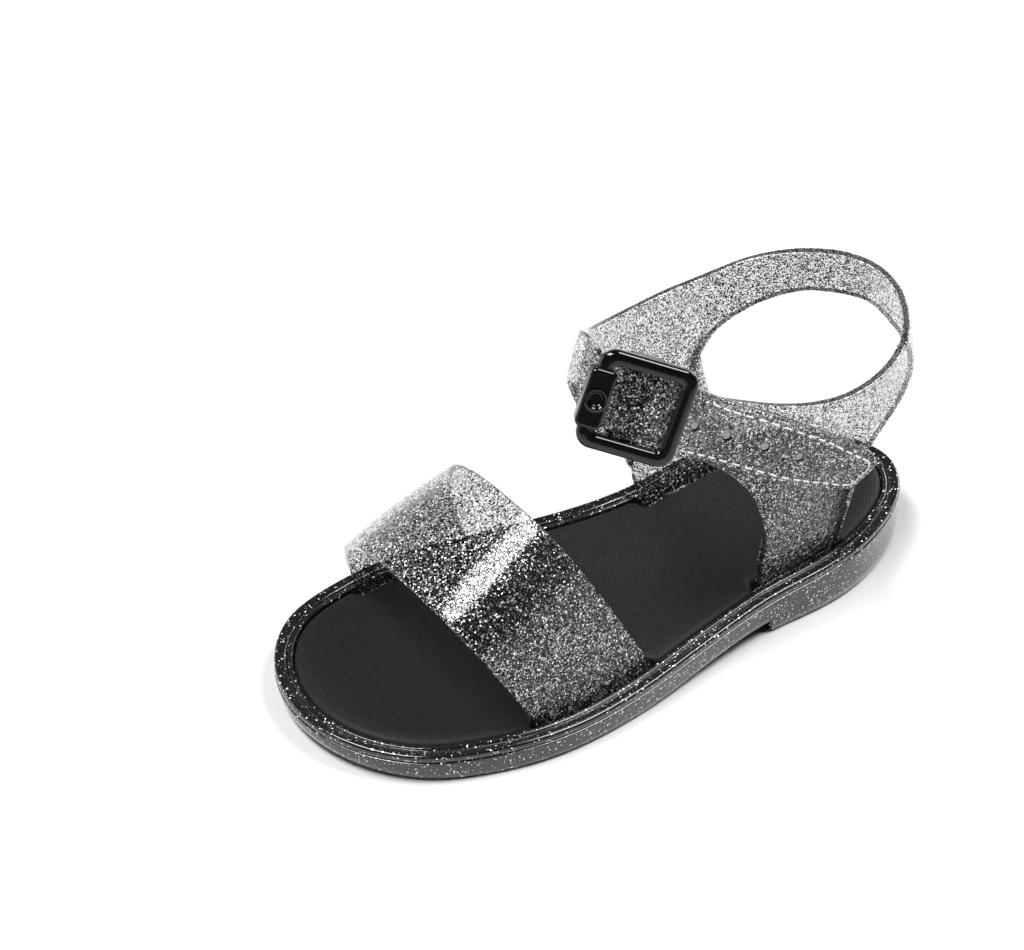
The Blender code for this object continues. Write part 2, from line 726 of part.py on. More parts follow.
def build_clip(material):
    """Clip that sits over the frame's front bar, with a round dimple."""
    middle = -0.5 * FRAME_LENGTH + 0.5 * BAR_WIDTH
    slot = 0.5 * BAR_WIDTH + GAP
    half = slot + CLIP_WALL
    top = FRAME_SEAT + CLIP_HEIGHT
    loops = []
    for shrink, out in ((0.0, FRAME_SEAT), (0.0, top - CLIP_BEVEL), (CLIP_BEVEL, top)):
        loops.append([
            tuple(buckle_point(middle + sx * (half - shrink), sy * (0.5 * CLIP_LENGTH - shrink), out))
            for sx, sy in ((1, 1), (-1, 1), (-1, -1), (1, -1))
        ])
    vertices = [point for loop in loops for point in loop]
    faces = [(3, 2, 1, 0), (8, 9, 10, 11)]
    for k in (0, 4):
        for i in range(4):
            j = (i + 1) % 4
            faces.append((k + i, k + j, k + 4 + j, k + 4 + i))
    clip = make_object("buckle_clip", vertices, faces, material)
    reach = 0.5 * CLIP_LENGTH + CUTTER_EXTRA
    depth = (FRAME_SEAT - CUTTER_EXTRA, FRAME_SEAT + BAR_HEIGHT + GAP)
    cut(clip, buckle_box("clip_slot", (middle - slot, middle + slot), (-reach, reach), depth))
    cut(clip, dimple_cutter(middle, top))
    return clip


def dimple_cutter(middle, top):
    """Short round plug that presses the dimple into the clip."""
    sides = 20
    vertices = []
    for out in (top - CLIP_DIMPLE_DEPTH, top + CUTTER_EXTRA):
        for k in range(sides):
            angle = 2.0 * math.pi * k / sides
            a = middle + CLIP_DIMPLE * math.cos(angle)
            b = CLIP_DIMPLE * math.sin(angle)
            vertices.append(tuple(buckle_point(a, b, out)))
    faces = [tuple(range(sides))[::-1], tuple(range(sides, 2 * sides))]
    for k in range(sides):
        m = (k + 1) % sides
        faces.append((k, m, sides + m, sides + k))
    return make_object("dimple_cutter", vertices, faces, None)


def strap_feet():
    """Side, first and last station, and inset of each strap foot."""
    lower = [row[1] for row in SIDE_ROWS]
    outer = [y for y, row in zip(lower, SIDE_ROWS) if isinstance(y, float) and row[0][0] > 0.0]
    inner = [y for y, row in zip(lower, SIDE_ROWS) if isinstance(y, float) and row[0][0] < 0.0]
    return (
        (1, VAMP[0][0], VAMP[1][0], BAND_FOOT_INSET),
        (-1, VAMP[0][2], VAMP[1][2], BAND_FOOT_INSET),
        (1, min(outer), max(outer), SLING_FOOT_INSET[1]),
        (-1, min(inner), max(inner), SLING_FOOT_INSET[-1]),
    )


def main():
    """Clears the scene and builds the sandal."""
    for obj in list(bpy.data.objects):
        bpy.data.objects.remove(obj)
    glitter = make_material("glitter_vinyl", (0.16, 0.16, 0.17), 0.18)
    cloth = make_material("insole_cloth", (0.02, 0.02, 0.022), 0.85)
    black = make_material("buckle_black", (0.01, 0.01, 0.012), 0.12)
    build_outsole(glitter)
    build_insole(cloth, strap_feet())
    build_vamp(glitter)
    build_sling(glitter)
    build_frame(black)
    build_clip(black)


main()
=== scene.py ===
# %% [markdown]
# # A toddler's jelly sandal in glitter vinyl
#
# The sandal is moulded from clear, smoky vinyl that is full of silver and black glitter. It has a
# sole unit, a footbed, a wide toe band, and one long strap that runs round the ankle and through a
# square black buckle. Each piece below is a surface worked out with numpy from a few named sizes.
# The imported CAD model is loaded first: it gives the frame that every piece is set in.

# %% Load the frame
import math

import bpy
import numpy as np
from mathutils import Matrix, Vector


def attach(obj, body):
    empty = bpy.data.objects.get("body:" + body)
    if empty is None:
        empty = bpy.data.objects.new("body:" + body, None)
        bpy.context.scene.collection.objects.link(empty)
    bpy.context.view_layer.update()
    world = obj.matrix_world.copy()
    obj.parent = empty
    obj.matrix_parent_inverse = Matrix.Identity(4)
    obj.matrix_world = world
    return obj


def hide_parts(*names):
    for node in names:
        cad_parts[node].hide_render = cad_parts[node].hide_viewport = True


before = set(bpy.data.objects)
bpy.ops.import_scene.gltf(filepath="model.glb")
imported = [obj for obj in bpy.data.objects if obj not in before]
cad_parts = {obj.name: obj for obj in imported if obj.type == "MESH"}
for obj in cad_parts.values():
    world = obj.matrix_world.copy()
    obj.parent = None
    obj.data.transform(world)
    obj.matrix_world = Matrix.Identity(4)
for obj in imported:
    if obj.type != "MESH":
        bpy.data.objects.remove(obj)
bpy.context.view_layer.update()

MM = 0.001
print("nodes:", sorted(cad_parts))

# %% [markdown]
# ## Smooth curves through a few points
#
# A shoe's outline could be drawn by hand as a Bezier curve. Here it is a cubic curve through a
# short table of measured stations, because the same few numbers then shape the sole, the footbed
# and the feet of the straps. Two kinds of slopes are used: relaxed ones, which give the smoothest
# line, and held ones, which never overshoot and so keep a corner where a strap meets the sole.

# %% Curves
def smoothstep(value):
    """Goes from 0 to 1 with level ends: 3 t squared minus 2 t cubed."""
    value = np.clip(value, 0.0, 1.0)
    return value * value * (3.0 - 2.0 * value)


def even_slopes(knots, values):
    """Slopes of the natural cubic spline: the bend is the same on both sides of each knot."""
    count = len(knots)
    gap = np.diff(knots)
    rise = np.diff(values, axis=0) / gap[:, None]
    inner = np.arange(1, count - 1)
    matrix = np.zeros((count, count))
    matrix[0, :2] = (2.0, 1.0)
    matrix[-1, -2:] = (1.0, 2.0)
    matrix[inner, inner - 1] = gap[1:]
    matrix[inner, inner] = 2.0 * (gap[:-1] + gap[1:])
    matrix[inner, inner + 1] = gap[:-1]
    right = np.vstack([
        3.0 * rise[:1],
        3.0 * (gap[1:, None] * rise[:-1] + gap[:-1, None] * rise[1:]),
        3.0 * rise[-1:],
    ])
    return np.linalg.solve(matrix, right)


def held_slopes(knots, values):
    """Slopes that are zero at a turning value and a weighted harmonic mean elsewhere."""
    gap = np.diff(knots)[:, None]
    rise = np.diff(values, axis=0) / gap
    product = rise[:-1] * rise[1:]
    weight_1, weight_2 = 2.0 * gap[1:] + gap[:-1], gap[1:] + 2.0 * gap[:-1]
    safe = np.where(product > 0.0, product, 1.0)
    mean = (weight_1 + weight_2) * safe / (weight_1 * rise[1:] + weight_2 * rise[:-1] + 1e-12)
    return np.vstack([rise[:1], np.where(product > 0.0, mean, 0.0), rise[-1:]])


def curve_at(knots, values, slopes, where):
    """Cubic Hermite curve: each span blends its two ends and their slopes."""
    where = np.asarray(where, float)
    index = np.clip(np.searchsorted(knots, where, side="right") - 1, 0, len(knots) - 2)
    gap = (knots[index + 1] - knots[index])[..., None]
    t = (where - knots[index])[..., None] / gap
    start, end = values[index], values[index + 1]
    lead, trail = slopes[index] * gap, slopes[index + 1] * gap
    return (
        start * (1 + 2 * t) * (1 - t) ** 2 + lead * t * (1 - t) ** 2
        + end * t * t * (3 - 2 * t) + trail * t * t * (t - 1)
    )


def chord_knots(points):
    """Curve parameter that grows with the distance between the points."""
    steps = np.linalg.norm(np.diff(points, axis=0), axis=1)
    return np.concatenate([[0.0], np.cumsum(steps)])


# %% [markdown]
# ## The footprint
#
# The sole of a left shoe, seen from above: the big toe is on the inner side, where the outline is
# straighter, and the arch is hollowed. The outline is sampled densely once and kept.

# %% Footprint
FOOTPRINT = (
    # station, inner edge, outer edge
    (-68.0, -23.2, 17.0),
    (-60.0, -29.7, 24.4),
    (-50.0, -32.6, 29.2),
    (-40.0, -33.6, 32.2),
    (-30.0, -33.1, 33.5),
    (-20.0, -30.9, 33.4),
    (-10.0, -27.9, 32.5),
    (0.0, -24.6, 31.1),
    (12.0, -21.2, 29.6),
    (24.0, -19.6, 28.7),
    (36.0, -19.8, 29.0),
    (48.0, -19.3, 28.0),
    (60.0, -15.2, 23.9),
    (68.0, -8.2, 19.0),
)
TOE_TIP = (-1.6, -75.0)
HEEL_TIP = (6.5, 75.0)
HALF = 600


def make_footprint():
    """Closed curve from the toe tip along the outer side to the heel, and back inside."""
    outer = [(lateral, y) for y, medial, lateral in FOOTPRINT]
    inner = [(medial, y) for y, medial, lateral in reversed(FOOTPRINT)]
    loop = np.array([TOE_TIP] + outer + [HEEL_TIP] + inner, float)
    count = len(loop)
    wrapped = np.vstack([loop, loop, loop, loop[:1]])
    knots = chord_knots(wrapped)
    slopes = even_slopes(knots, wrapped)
    start, heel, end = knots[count], knots[count + len(outer) + 1], knots[2 * count]
    first = np.linspace(start, heel, HALF + 1)[:-1]
    second = np.linspace(heel, end, HALF + 1)[:-1]
    return curve_at(knots, wrapped, slopes, np.concatenate([first, second]))


OUTLINE = make_footprint()
AHEAD = np.roll(OUTLINE, -1, axis=0) - np.roll(OUTLINE, 1, axis=0)
AHEAD /= np.linalg.norm(AHEAD, axis=1)[:, None]
OUTWARD = np.column_stack([AHEAD[:, 1], -AHEAD[:, 0]])
print("footprint in mm:", np.round(np.ptp(OUTLINE, axis=0), 1))


# %% [markdown]
# Seen from the side, the sole is thin under the toes and thicker under the heel, with a low heel
# block behind the arch. Two height functions of the station are enough for it, and every piece
# that stands on the sole reads the same two.

# %% Heights along the sole
FOREFOOT_CREST, HEEL_RISE = 7.2, 5.4
TOE_SPRING, HEEL_ROLL, ARCH_LIFT = 2.0, 0.8, 2.8
BREAST, ARCH_START = 24.0, -14.0


def crest_height(y):
    """Height of the rim's lip: the forefoot's height, rising smoothly to the heel's."""
    return FOREFOOT_CREST + HEEL_RISE * smoothstep((y + 30.0) / 90.0)


def base_height(y):
    """Underside: toe spring, level tread, an arch that ends at the heel block, a rolled heel."""
    toe = np.clip((-45.0 - y) / 30.0, 0.0, 1.0)
    heel = np.clip((y - 66.0) / 9.0, 0.0, 1.0)
    arch = smoothstep((y - ARCH_START) / (BREAST - ARCH_START)) * (y < BREAST)
    return TOE_SPRING * toe ** 2 + HEEL_ROLL * heel ** 2 + ARCH_LIFT * arch


def rim_point(side, y, inset):
    """Plan x of the rim at station y, moved in by inset: side 1 is the outer side."""
    line = OUTLINE - OUTWARD * inset
    line = line[:HALF] if side > 0 else line[HALF:][::-1]
    return float(np.interp(y, line[:, 1], line[:, 0]))


print("crest at toe and heel in mm:", [round(float(crest_height(y)), 1) for y in (-75.0, 75.0)])

# %% [markdown]
# ## From arrays to meshes
#
# Every piece is a closed surface: a grid of points that is wrapped round in one direction. The
# faces of such a grid are found with array arithmetic, and the mesh is filled in one go. The
# volume's sign tells whether the faces point outwards, and a mesh that is inside out is flipped.

# %% Mesh helpers
def grid_faces(rows, columns, wrap_rows=False, wrap_columns=False):
    """Quads between neighbouring points of a grid whose points are numbered row by row."""
    i = np.arange(rows if wrap_rows else rows - 1)[:, None]
    j = np.arange(columns if wrap_columns else columns - 1)[None, :]
    next_i, next_j = (i + 1) % rows, (j + 1) % columns
    corners = [
        i * columns + j, i * columns + next_j, next_i * columns + next_j, next_i * columns + j,
    ]
    return np.stack([np.broadcast_to(c, (i.size, j.size)).ravel() for c in corners], axis=1)


def closed_mesh(name, points, faces, material, node, attributes=None, sharp=50.0):
    """Mesh object from points in millimetres, faces outwards, riding on the one body."""
    points = np.asarray(points, float) * MM
    mesh = bpy.data.meshes.new(name)
    mesh.from_pydata(points.tolist(), [], faces)
    mesh.validate()
    mesh.calc_loop_triangles()
    loops = np.zeros(len(mesh.loop_triangles) * 3, np.int32)
    mesh.loop_triangles.foreach_get("vertices", loops)
    a, b, c = points[loops.reshape(-1, 3)].transpose(1, 0, 2)
    if np.einsum("ij,ij->i", a, np.cross(b, c)).sum() < 0.0:
        mesh.flip_normals()
    mesh.shade_smooth()
    mesh.set_sharp_from_angle(angle=math.radians(sharp))
    for label, values in (attributes or {}).items():
        layer = mesh.attributes.new(label, "FLOAT", "POINT")
        layer.data.foreach_set("value", np.asarray(values, np.float32))
    mesh.materials.append(material)
    piece = bpy.data.objects.new(name, mesh)
    bpy.context.scene.collection.objects.link(piece)
    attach(piece, "root")
    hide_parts(node)
    print(f"{name}: {len(loops) // 3} triangles")
    return piece


def rows_faces(rows, columns):
    """A tube of wrapped rows, each end closed by quads between the two halves of its row."""
    faces = grid_faces(rows, columns, wrap_columns=True).tolist()
    half = columns // 2
    k = np.arange(half - 1)
    for start, turn in ((0, 1), ((rows - 1) * columns, -1)):
        cap = np.stack([k, columns - 1 - k, columns - 2 - k, k + 1], axis=1) + start
        faces += cap[:, ::turn].tolist()
    return faces


# %% [markdown]
# ## Materials
#
# The vinyl is a clear smoky plastic with flecks of foil in it. A photograph of glitter would repeat
# and blur, so the flecks are cells of a Voronoi texture, each with its own random numbers. A cell
# whose first number is under a threshold is foil, the second number is its glint, a painted glint:
# how light the fleck is painted, to a power set by Bright, and a white noise on the cell's position
# says how far it leans, so that it mirrors the lamps by chance, as real foil does. One node group
# makes the flecks, because every size of foil needs it.

# %% Node helpers
def link_or_set(tree, value, socket):
    """A socket is linked, and a plain number is set."""
    if isinstance(value, (int, float)):
        socket.default_value = value
    else:
        tree.links.new(value, socket)


def math_node(tree, operation, first, second):
    """Math node with its inputs given as sockets or plain numbers."""
    node = tree.nodes.new("ShaderNodeMath")
    node.operation = operation
    link_or_set(tree, first, node.inputs[0])
    link_or_set(tree, second, node.inputs[1])
    return node.outputs[0]


def vector_node(tree, operation, first, second=None):
    """Vector math node; a scale takes its second value as a number."""
    node = tree.nodes.new("ShaderNodeVectorMath")
    node.operation = operation
    tree.links.new(first, node.inputs[0])
    if second is not None:
        tree.links.new(second, node.inputs["Scale" if operation == "SCALE" else 1])
    return node.outputs[0]


def mix_value(tree, share, first, second):
    """Linear mix: first times one minus the share, plus second times the share."""
    node = tree.nodes.new("ShaderNodeMix")
    node.data_type = "FLOAT"
    for number, value in ((0, share), (2, first), (3, second)):
        link_or_set(tree, value, node.inputs[number])
    return node.outputs[0]


def pattern(tree, kind, scale):
    """Texture node on Object coordinates, with its scale as a number or a socket."""
    place = tree.nodes.new("ShaderNodeTexCoord")
    node = tree.nodes.new(kind)
    tree.links.new(place.outputs["Object"], node.inputs["Vector"])
    link_or_set(tree, scale, node.inputs["Scale"])
    return node


def grey_colour(tree, value, blue=1.0):
    """Grey from one value, with its blue part multiplied for a cooler tone."""
    colour = tree.nodes.new("ShaderNodeCombineColor")
    for number, part in enumerate((1.0, 1.0, blue)):
        tone = value if part == 1.0 else math_node(tree, "MULTIPLY", value, part)
        tree.links.new(tone, colour.inputs[number])
    return colour.outputs[0]


def set_values(node, values):
    """Plain numbers or colours on the node's own sockets."""
    for label, value in values.items():
        node.inputs[label].default_value = value


def fine_bump(tree, shader, height, strength, depth):
    """Bump on the shader's normal from a pattern too fine to model."""
    bump = tree.nodes.new("ShaderNodeBump")
    set_values(bump, {"Strength": strength, "Distance": depth})
    tree.links.new(height, bump.inputs["Height"])
    tree.links.new(bump.outputs["Normal"], shader.inputs["Normal"])


def new_material(name):
    """Material with its node tree and its one Principled shader."""
    material = bpy.data.materials.new(name)
    material.use_nodes = True
    return material, material.node_tree, material.node_tree.nodes["Principled BSDF"]


# %% Glitter group
FLAKE_REACH = 0.62
GROUP_INPUTS = ("Scale", "Share", "Bright")
GROUP_OUTPUTS = (("Mask", "Float"), ("Glint", "Float"), ("Lean", "Vector"))


def glitter_group():
    """Foil flecks: presence, glint to a power of one over Bright, and a lean of -0.5 to 0.5."""
    group = bpy.data.node_groups.new("foil_flecks", "ShaderNodeTree")
    for label in GROUP_INPUTS:
        group.interface.new_socket(name=label, in_out="INPUT", socket_type="NodeSocketFloat")
    for label, kind in GROUP_OUTPUTS:
        group.interface.new_socket(name=label, in_out="OUTPUT", socket_type="NodeSocket" + kind)
    source, result = group.nodes.new("NodeGroupInput"), group.nodes.new("NodeGroupOutput")
    cells = pattern(group, "ShaderNodeTexVoronoi", source.outputs["Scale"])
    split = group.nodes.new("ShaderNodeSeparateColor")
    group.links.new(cells.outputs["Color"], split.inputs["Color"])
    present = math_node(group, "LESS_THAN", split.outputs[0], source.outputs["Share"])
    flake = math_node(group, "LESS_THAN", cells.outputs["Distance"], FLAKE_REACH)
    power = math_node(group, "DIVIDE", 1.0, source.outputs["Bright"])
    draw = group.nodes.new("ShaderNodeTexWhiteNoise")
    group.links.new(cells.outputs["Position"], draw.inputs["Vector"])
    centre = group.nodes.new("ShaderNodeCombineXYZ")
    set_values(centre, {"X": 0.5, "Y": 0.5, "Z": 0.5})
    lean = vector_node(group, "SUBTRACT", draw.outputs["Color"], centre.outputs[0])
    group.links.new(math_node(group, "MULTIPLY", present, flake), result.inputs["Mask"])
    group.links.new(math_node(group, "POWER", split.outputs[1], power), result.inputs["Glint"])
    group.links.new(lean, result.inputs["Lean"])
    return group


FLECKS = glitter_group()


def flecks(tree, scale, share, bright):
    """The flecks group with one size of foil."""
    node = tree.nodes.new("ShaderNodeGroup")
    node.node_tree = FLECKS
    set_values(node, {"Scale": scale, "Share": share, "Bright": bright})
    return node.outputs


print("fleck groups:", FLECKS.name)

# %% [markdown]
# The straps and the sole are one plastic with different shares of foil. Silver foil is a rough
# metal that leans by chance, with a painted glint in its lightness, black foil is a plain colour,
# and the large bright flecks are painted glints: plain colours up to 1.25, lighter than white, for
# foil catching the lamps. What is left is clear. The clear part of a strap lets most of the light
# through, so the straps are dark over the insole and pale over the floor. A smooth coat over
# everything gives the long sharp reflections.
# Each strap carries two numbers at its points: its relief, which puts a painted highlight on the
# dashes' crests and painted shade and a painted reflection on the round marks, and its wall, which
# darkens the cut edge, where one looks along the smoky plastic.

# %% The two vinyls
# The third fleck size is a painted glint: a plain bright colour, up to 1.25, for foil catching the
# lamps.
SILVER, PAINTED_GLINT, BLACK = (3500.0, 0.45), (2900.0, 3.0), (2800.0, 0.5)
BLACK_TONE, EDGE_TONE = 0.006, 0.008
SILVER_BASE, PAINTED_GLINT_BASE, BLUE = 0.02, 0.25, 1.03
# The dashes' crests are painted near white, a painted highlight on the raised thread.
DASH_HIGHLIGHT_LEVEL, RIM_LEVEL, DOT_LEVEL = 0.34, -0.12, -0.6
# The round marks' sloping rims are painted near black, a painted shade in the hollow; their middles
# are a smooth light grey without foil, a painted reflection.
DASH_HIGHLIGHT_TONE, RIM_SHADE_TONE, DOT_REFLECTION_TONE = 0.95, 0.01, 0.42
EDGE_SHARE, METAL_SHARE, LEAN_SHARE = 0.8, 0.85, 0.5
CLEAR_ROUGHNESS, FOIL_ROUGHNESS = 0.2, 0.3
GLOSS = {
    "Specular IOR Level": 0.15, "Coat Weight": 1.0, "Coat Roughness": 0.04, "Coat IOR": 1.52,
}


def strap_marks(tree):
    """Masks: the dashes' painted highlight, the marks' painted rim shade and reflection, the cut
    edge.
    """
    fields = []
    for label in ("relief", "wall"):
        node = tree.nodes.new("ShaderNodeAttribute")
        node.attribute_name = label
        fields.append(node.outputs["Fac"])
    dash = math_node(tree, "GREATER_THAN", fields[0], DASH_HIGHLIGHT_LEVEL)
    rim = math_node(tree, "LESS_THAN", fields[0], RIM_LEVEL)
    dot = math_node(tree, "LESS_THAN", fields[0], DOT_LEVEL)
    edge = math_node(tree, "GREATER_THAN", fields[1], 0.5)
    return dash, rim, dot, math_node(tree, "MULTIPLY", edge, EDGE_SHARE)


def vinyl(name, clear, clear_alpha, silver_share, painted_glint_share, black_share):
    """Clear smoky vinyl with silver and black foil and large painted glints, under a smooth gloss.
    """
    material, tree, shader = new_material(name)
    silver = flecks(tree, SILVER[0], silver_share, SILVER[1])
    painted_glint = flecks(tree, PAINTED_GLINT[0], painted_glint_share, PAINTED_GLINT[1])
    black = flecks(tree, BLACK[0], black_share, BLACK[1])
    dash, rim, dot, edge = strap_marks(tree)
    value = clear
    for mask, tone in (
        # silver foil: its random lightness is a painted glint on top of the metal's own mirroring
        (silver["Mask"], math_node(tree, "ADD", silver["Glint"], SILVER_BASE)),
        (black["Mask"], BLACK_TONE),
        # large painted glints: a plain colour up to 1.25
        (painted_glint["Mask"], math_node(tree, "ADD", painted_glint["Glint"], PAINTED_GLINT_BASE)),
        # painted highlight on the dashes' crests
        (dash, DASH_HIGHLIGHT_TONE),
        # painted shade on the sloping rims of the marks' hollows
        (rim, RIM_SHADE_TONE),
        # painted reflection in the marks' smooth middles
        (dot, DOT_REFLECTION_TONE),
        (edge, EDGE_TONE),
    ):
        value = mix_value(tree, mask, value, tone)
    tree.links.new(grey_colour(tree, value, BLUE), shader.inputs["Base Color"])
    foil = silver["Mask"]
    for mark in (dash, rim, edge):
        foil = math_node(tree, "MULTIPLY", foil, math_node(tree, "SUBTRACT", 1.0, mark))
    tree.links.new(math_node(tree, "MULTIPLY", foil, METAL_SHARE), shader.inputs["Metallic"])
    rough = mix_value(tree, foil, CLEAR_ROUGHNESS, FOIL_ROUGHNESS)
    tree.links.new(rough, shader.inputs["Roughness"])
    if clear_alpha < 1.0:
        solid = silver["Mask"]
        for mark in (black["Mask"], painted_glint["Mask"], dash, rim, edge):
            solid = math_node(tree, "MAXIMUM", solid, mark)
        tree.links.new(mix_value(tree, solid, clear_alpha, 1.0), shader.inputs["Alpha"])
    set_values(shader, GLOSS)
    smooth = tree.nodes.new("ShaderNodeNewGeometry")
    lean = vector_node(tree, "SCALE", silver["Lean"], math_node(tree, "MULTIPLY", foil, LEAN_SHARE))
    lean = vector_node(tree, "ADD", smooth.outputs["Normal"], lean)
    tree.links.new(vector_node(tree, "NORMALIZE", lean), shader.inputs["Normal"])
    return material


strap_vinyl = vinyl("glitter_vinyl", 0.004, 0.16, 0.34, 0.045, 0.17)
sole_vinyl = vinyl("glitter_vinyl_sole", 0.010, 1.0, 0.10, 0.022, 0.0)
print("vinyls:", strap_vinyl.name, sole_vinyl.name)

# %% [markdown]
# The footbed is covered in a fine black twill with a slight sheen. Its ribs are waves across
# Object coordinates, too fine to model, so they stay a bump. The buckle is polished black plastic
# with the faintest ripple.

# %% Cloth and black plastic
RIBS_PER_METRE, CLOUD_SCALE, RIPPLE_SCALE = 620.0, 900.0, 700.0


def cloth_material():
    """Black twill: fine diagonal waves, a little change of tone, soft sheen."""
    material, tree, shader = new_material("insole_cloth")
    ribs = pattern(tree, "ShaderNodeTexWave", RIBS_PER_METRE)
    ribs.bands_direction = "DIAGONAL"
    ribs.inputs["Distortion"].default_value = 0.4
    cloud = pattern(tree, "ShaderNodeTexNoise", CLOUD_SCALE)
    tone = math_node(
        tree, "ADD", math_node(tree, "MULTIPLY", ribs.outputs["Fac"], 0.006),
        math_node(tree, "MULTIPLY", cloud.outputs["Fac"], 0.012),
    )
    tree.links.new(grey_colour(tree, tone), shader.inputs["Base Color"])
    set_values(shader, {
        "Roughness": 0.55, "Specular IOR Level": 0.2, "Sheen Weight": 0.03, "Sheen Roughness": 0.4,
    })
    fine_bump(tree, shader, ribs.outputs["Fac"], 0.3, 0.00008)
    return material


def black_material():
    """Polished black plastic: nearly black, roughness 0.04 plus 0.08 of a fine ripple."""
    material, tree, shader = new_material("buckle_black")
    shader.inputs["Base Color"].default_value = (0.003, 0.003, 0.0035, 1.0)
    ripple = pattern(tree, "ShaderNodeTexNoise", RIPPLE_SCALE).outputs["Fac"]
    rough = math_node(tree, "ADD", math_node(tree, "MULTIPLY", ripple, 0.08), 0.04)
    tree.links.new(rough, shader.inputs["Roughness"])
    fine_bump(tree, shader, ripple, 0.05, 0.0001)
    return material


insole_cloth = cloth_material()
buckle_black = black_material()
print("cloth and plastic:", insole_cloth.name, buckle_black.name)

# %% [markdown]
# ## The sole unit
#
# On the real shoe the sole is one moulding. Its side rises to a small groove under a rounded lip,
# and the top slopes down to a channel and a bead before the footbed. The section could be carved,
# but here it is a profile carried round the footprint: each ring of the profile is the outline
# moved inwards, at a height above the ground or below the lip's crest.

# %% Sole rings
SOLE_RINGS = (
    # inset, share of the crest in the level, height above that level
    (1.60, 0.0, 0.00),
    (0.55, 0.0, 0.45),
    (0.20, 0.0, 1.40),
    (0.00, 1.0, -2.30),
    (0.05, 1.0, -1.95),
    (0.50, 1.0, -1.75),
    (0.10, 1.0, -1.50),
    (0.00, 1.0, -0.80),
    (0.30, 1.0, -0.15),
    (0.80, 1.0, 0.00),
    (2.30, 1.0, -0.40),
    (2.75, 1.0, -0.85),
    (3.05, 1.0, -0.50),
    (3.50, 1.0, -0.40),
    (3.90, 1.0, -0.70),
    (4.00, 1.0, -3.60),
)
FRONT_SAMPLES, HEEL_SAMPLES, CAP_STEPS = 150, 80, 25
RIB_PITCH, RIB_DEPTH, RIB_FADE = 3.6, 0.3, 0.12


def outline_samples(count_front, count_heel):
    """Outline numbers from toe to heel on both sides, closed up on the heel block's front."""
    sides = []
    for half in (np.arange(0, HALF + 1), np.arange(2 * HALF, HALF - 1, -1) % (2 * HALF)):
        split = int(np.argmin(np.abs(OUTLINE[half, 1] - BREAST)))
        front = np.linspace(0, split - 1, count_front)
        back = np.linspace(split + 1, HALF, count_heel)
        sides.append(half[np.round(np.concatenate([front, back])).astype(int)])
    return sides


OUTER, INNER = outline_samples(FRONT_SAMPLES, HEEL_SAMPLES)
LOOP = np.concatenate([OUTER, INNER[-2:0:-1]])


def fine_profile(rows, steps):
    """Held curve through the profile's rows, with a number of steps on each span."""
    table = np.array(rows, float)
    knots = np.arange(len(table), dtype=float)
    where = np.linspace(0.0, knots[-1], steps * (len(table) - 1) + 1)
    return curve_at(knots, table, held_slopes(knots, table), where)


def cap_grid(loop):
    """Points across from the outer to the inner half of a closed ring, as rows of a grid."""
    half = len(loop) // 2
    left = loop[1:half]
    right = loop[:half:-1]
    share = np.linspace(0.0, 1.0, CAP_STEPS)[None, 1:-1, None]
    return left[:, None] + (right - left)[:, None] * share


def ringed_solid(rings, lift):
    """Closed mesh from rings, its first and last ring filled by rungs; lift shapes each cap."""
    rows, count = rings.shape[:2]
    points = [rings.reshape(-1, 3)]
    faces = grid_faces(rows, count, wrap_columns=True).tolist()
    size = rows * count
    half = count // 2
    for number, start in enumerate((0, (rows - 1) * count)):
        inner = cap_grid(rings[0] if number == 0 else rings[-1])
        inner = inner + lift[number](inner)
        length, width = inner.shape[:2]
        ids = np.arange(length * width).reshape(length, width) + size
        near, far = start + np.arange(1, half), start + count - np.arange(1, half)
        table = np.column_stack([near, ids, far])
        quads = np.stack([table[:-1, :-1], table[1:, :-1], table[1:, 1:], table[:-1, 1:]], axis=-1)
        tip = np.full(table.shape[1] - 1, start)
        tips = np.concatenate([
            np.column_stack([tip, table[0, 1:], table[0, :-1]]),
            np.column_stack([tip + half, table[-1, :-1], table[-1, 1:]]),
        ])
        turn = 1 if number == 0 else -1
        faces += quads.reshape(-1, 4)[:, ::turn].tolist() + tips[:, ::turn].tolist()
        points.append(inner.reshape(-1, 3))
        size += length * width
    return np.concatenate(points), faces


def level_lift(grid):
    """Leaves a cap as it is."""
    return np.zeros_like(grid)


def tread_lift(grid):
    """Shallow ribs across the underside: a clipped sine of y, which fades out at the edge."""
    across = np.linspace(0.0, 1.0, grid.shape[1])[None, :, None]
    fade = smoothstep(np.minimum(across, 1.0 - across) / RIB_FADE)
    ribs = smoothstep(2.0 * np.sin(grid[:, :, 1:2] * 2.0 * math.pi / RIB_PITCH))
    return np.concatenate([np.zeros_like(grid[:, :, :2]), RIB_DEPTH * ribs * fade], axis=2)


profile = fine_profile(SOLE_RINGS, 4)
plan = OUTLINE[LOOP][None] - OUTWARD[LOOP][None] * profile[:, 0, None, None]
crest, base = crest_height(plan[:, :, 1]), base_height(plan[:, :, 1])
share = profile[:, 1, None]
height = base + (crest - base) * share + profile[:, 2, None]
sole_points, sole_faces = ringed_solid(np.dstack([plan, height]), (tread_lift, level_lift))
closed_mesh(
    "sole_unit", sole_points, sole_faces, sole_vinyl, "outsole", sharp=40.0
)

# %% [markdown]
# ## The footbed
#
# A padded insole with a rolled edge lies in the sole's recess. Where a strap goes down beside it
# the real edge is cut back, so the ring's inset grows there: a smooth window along the foot, one
# for each of the four feet.

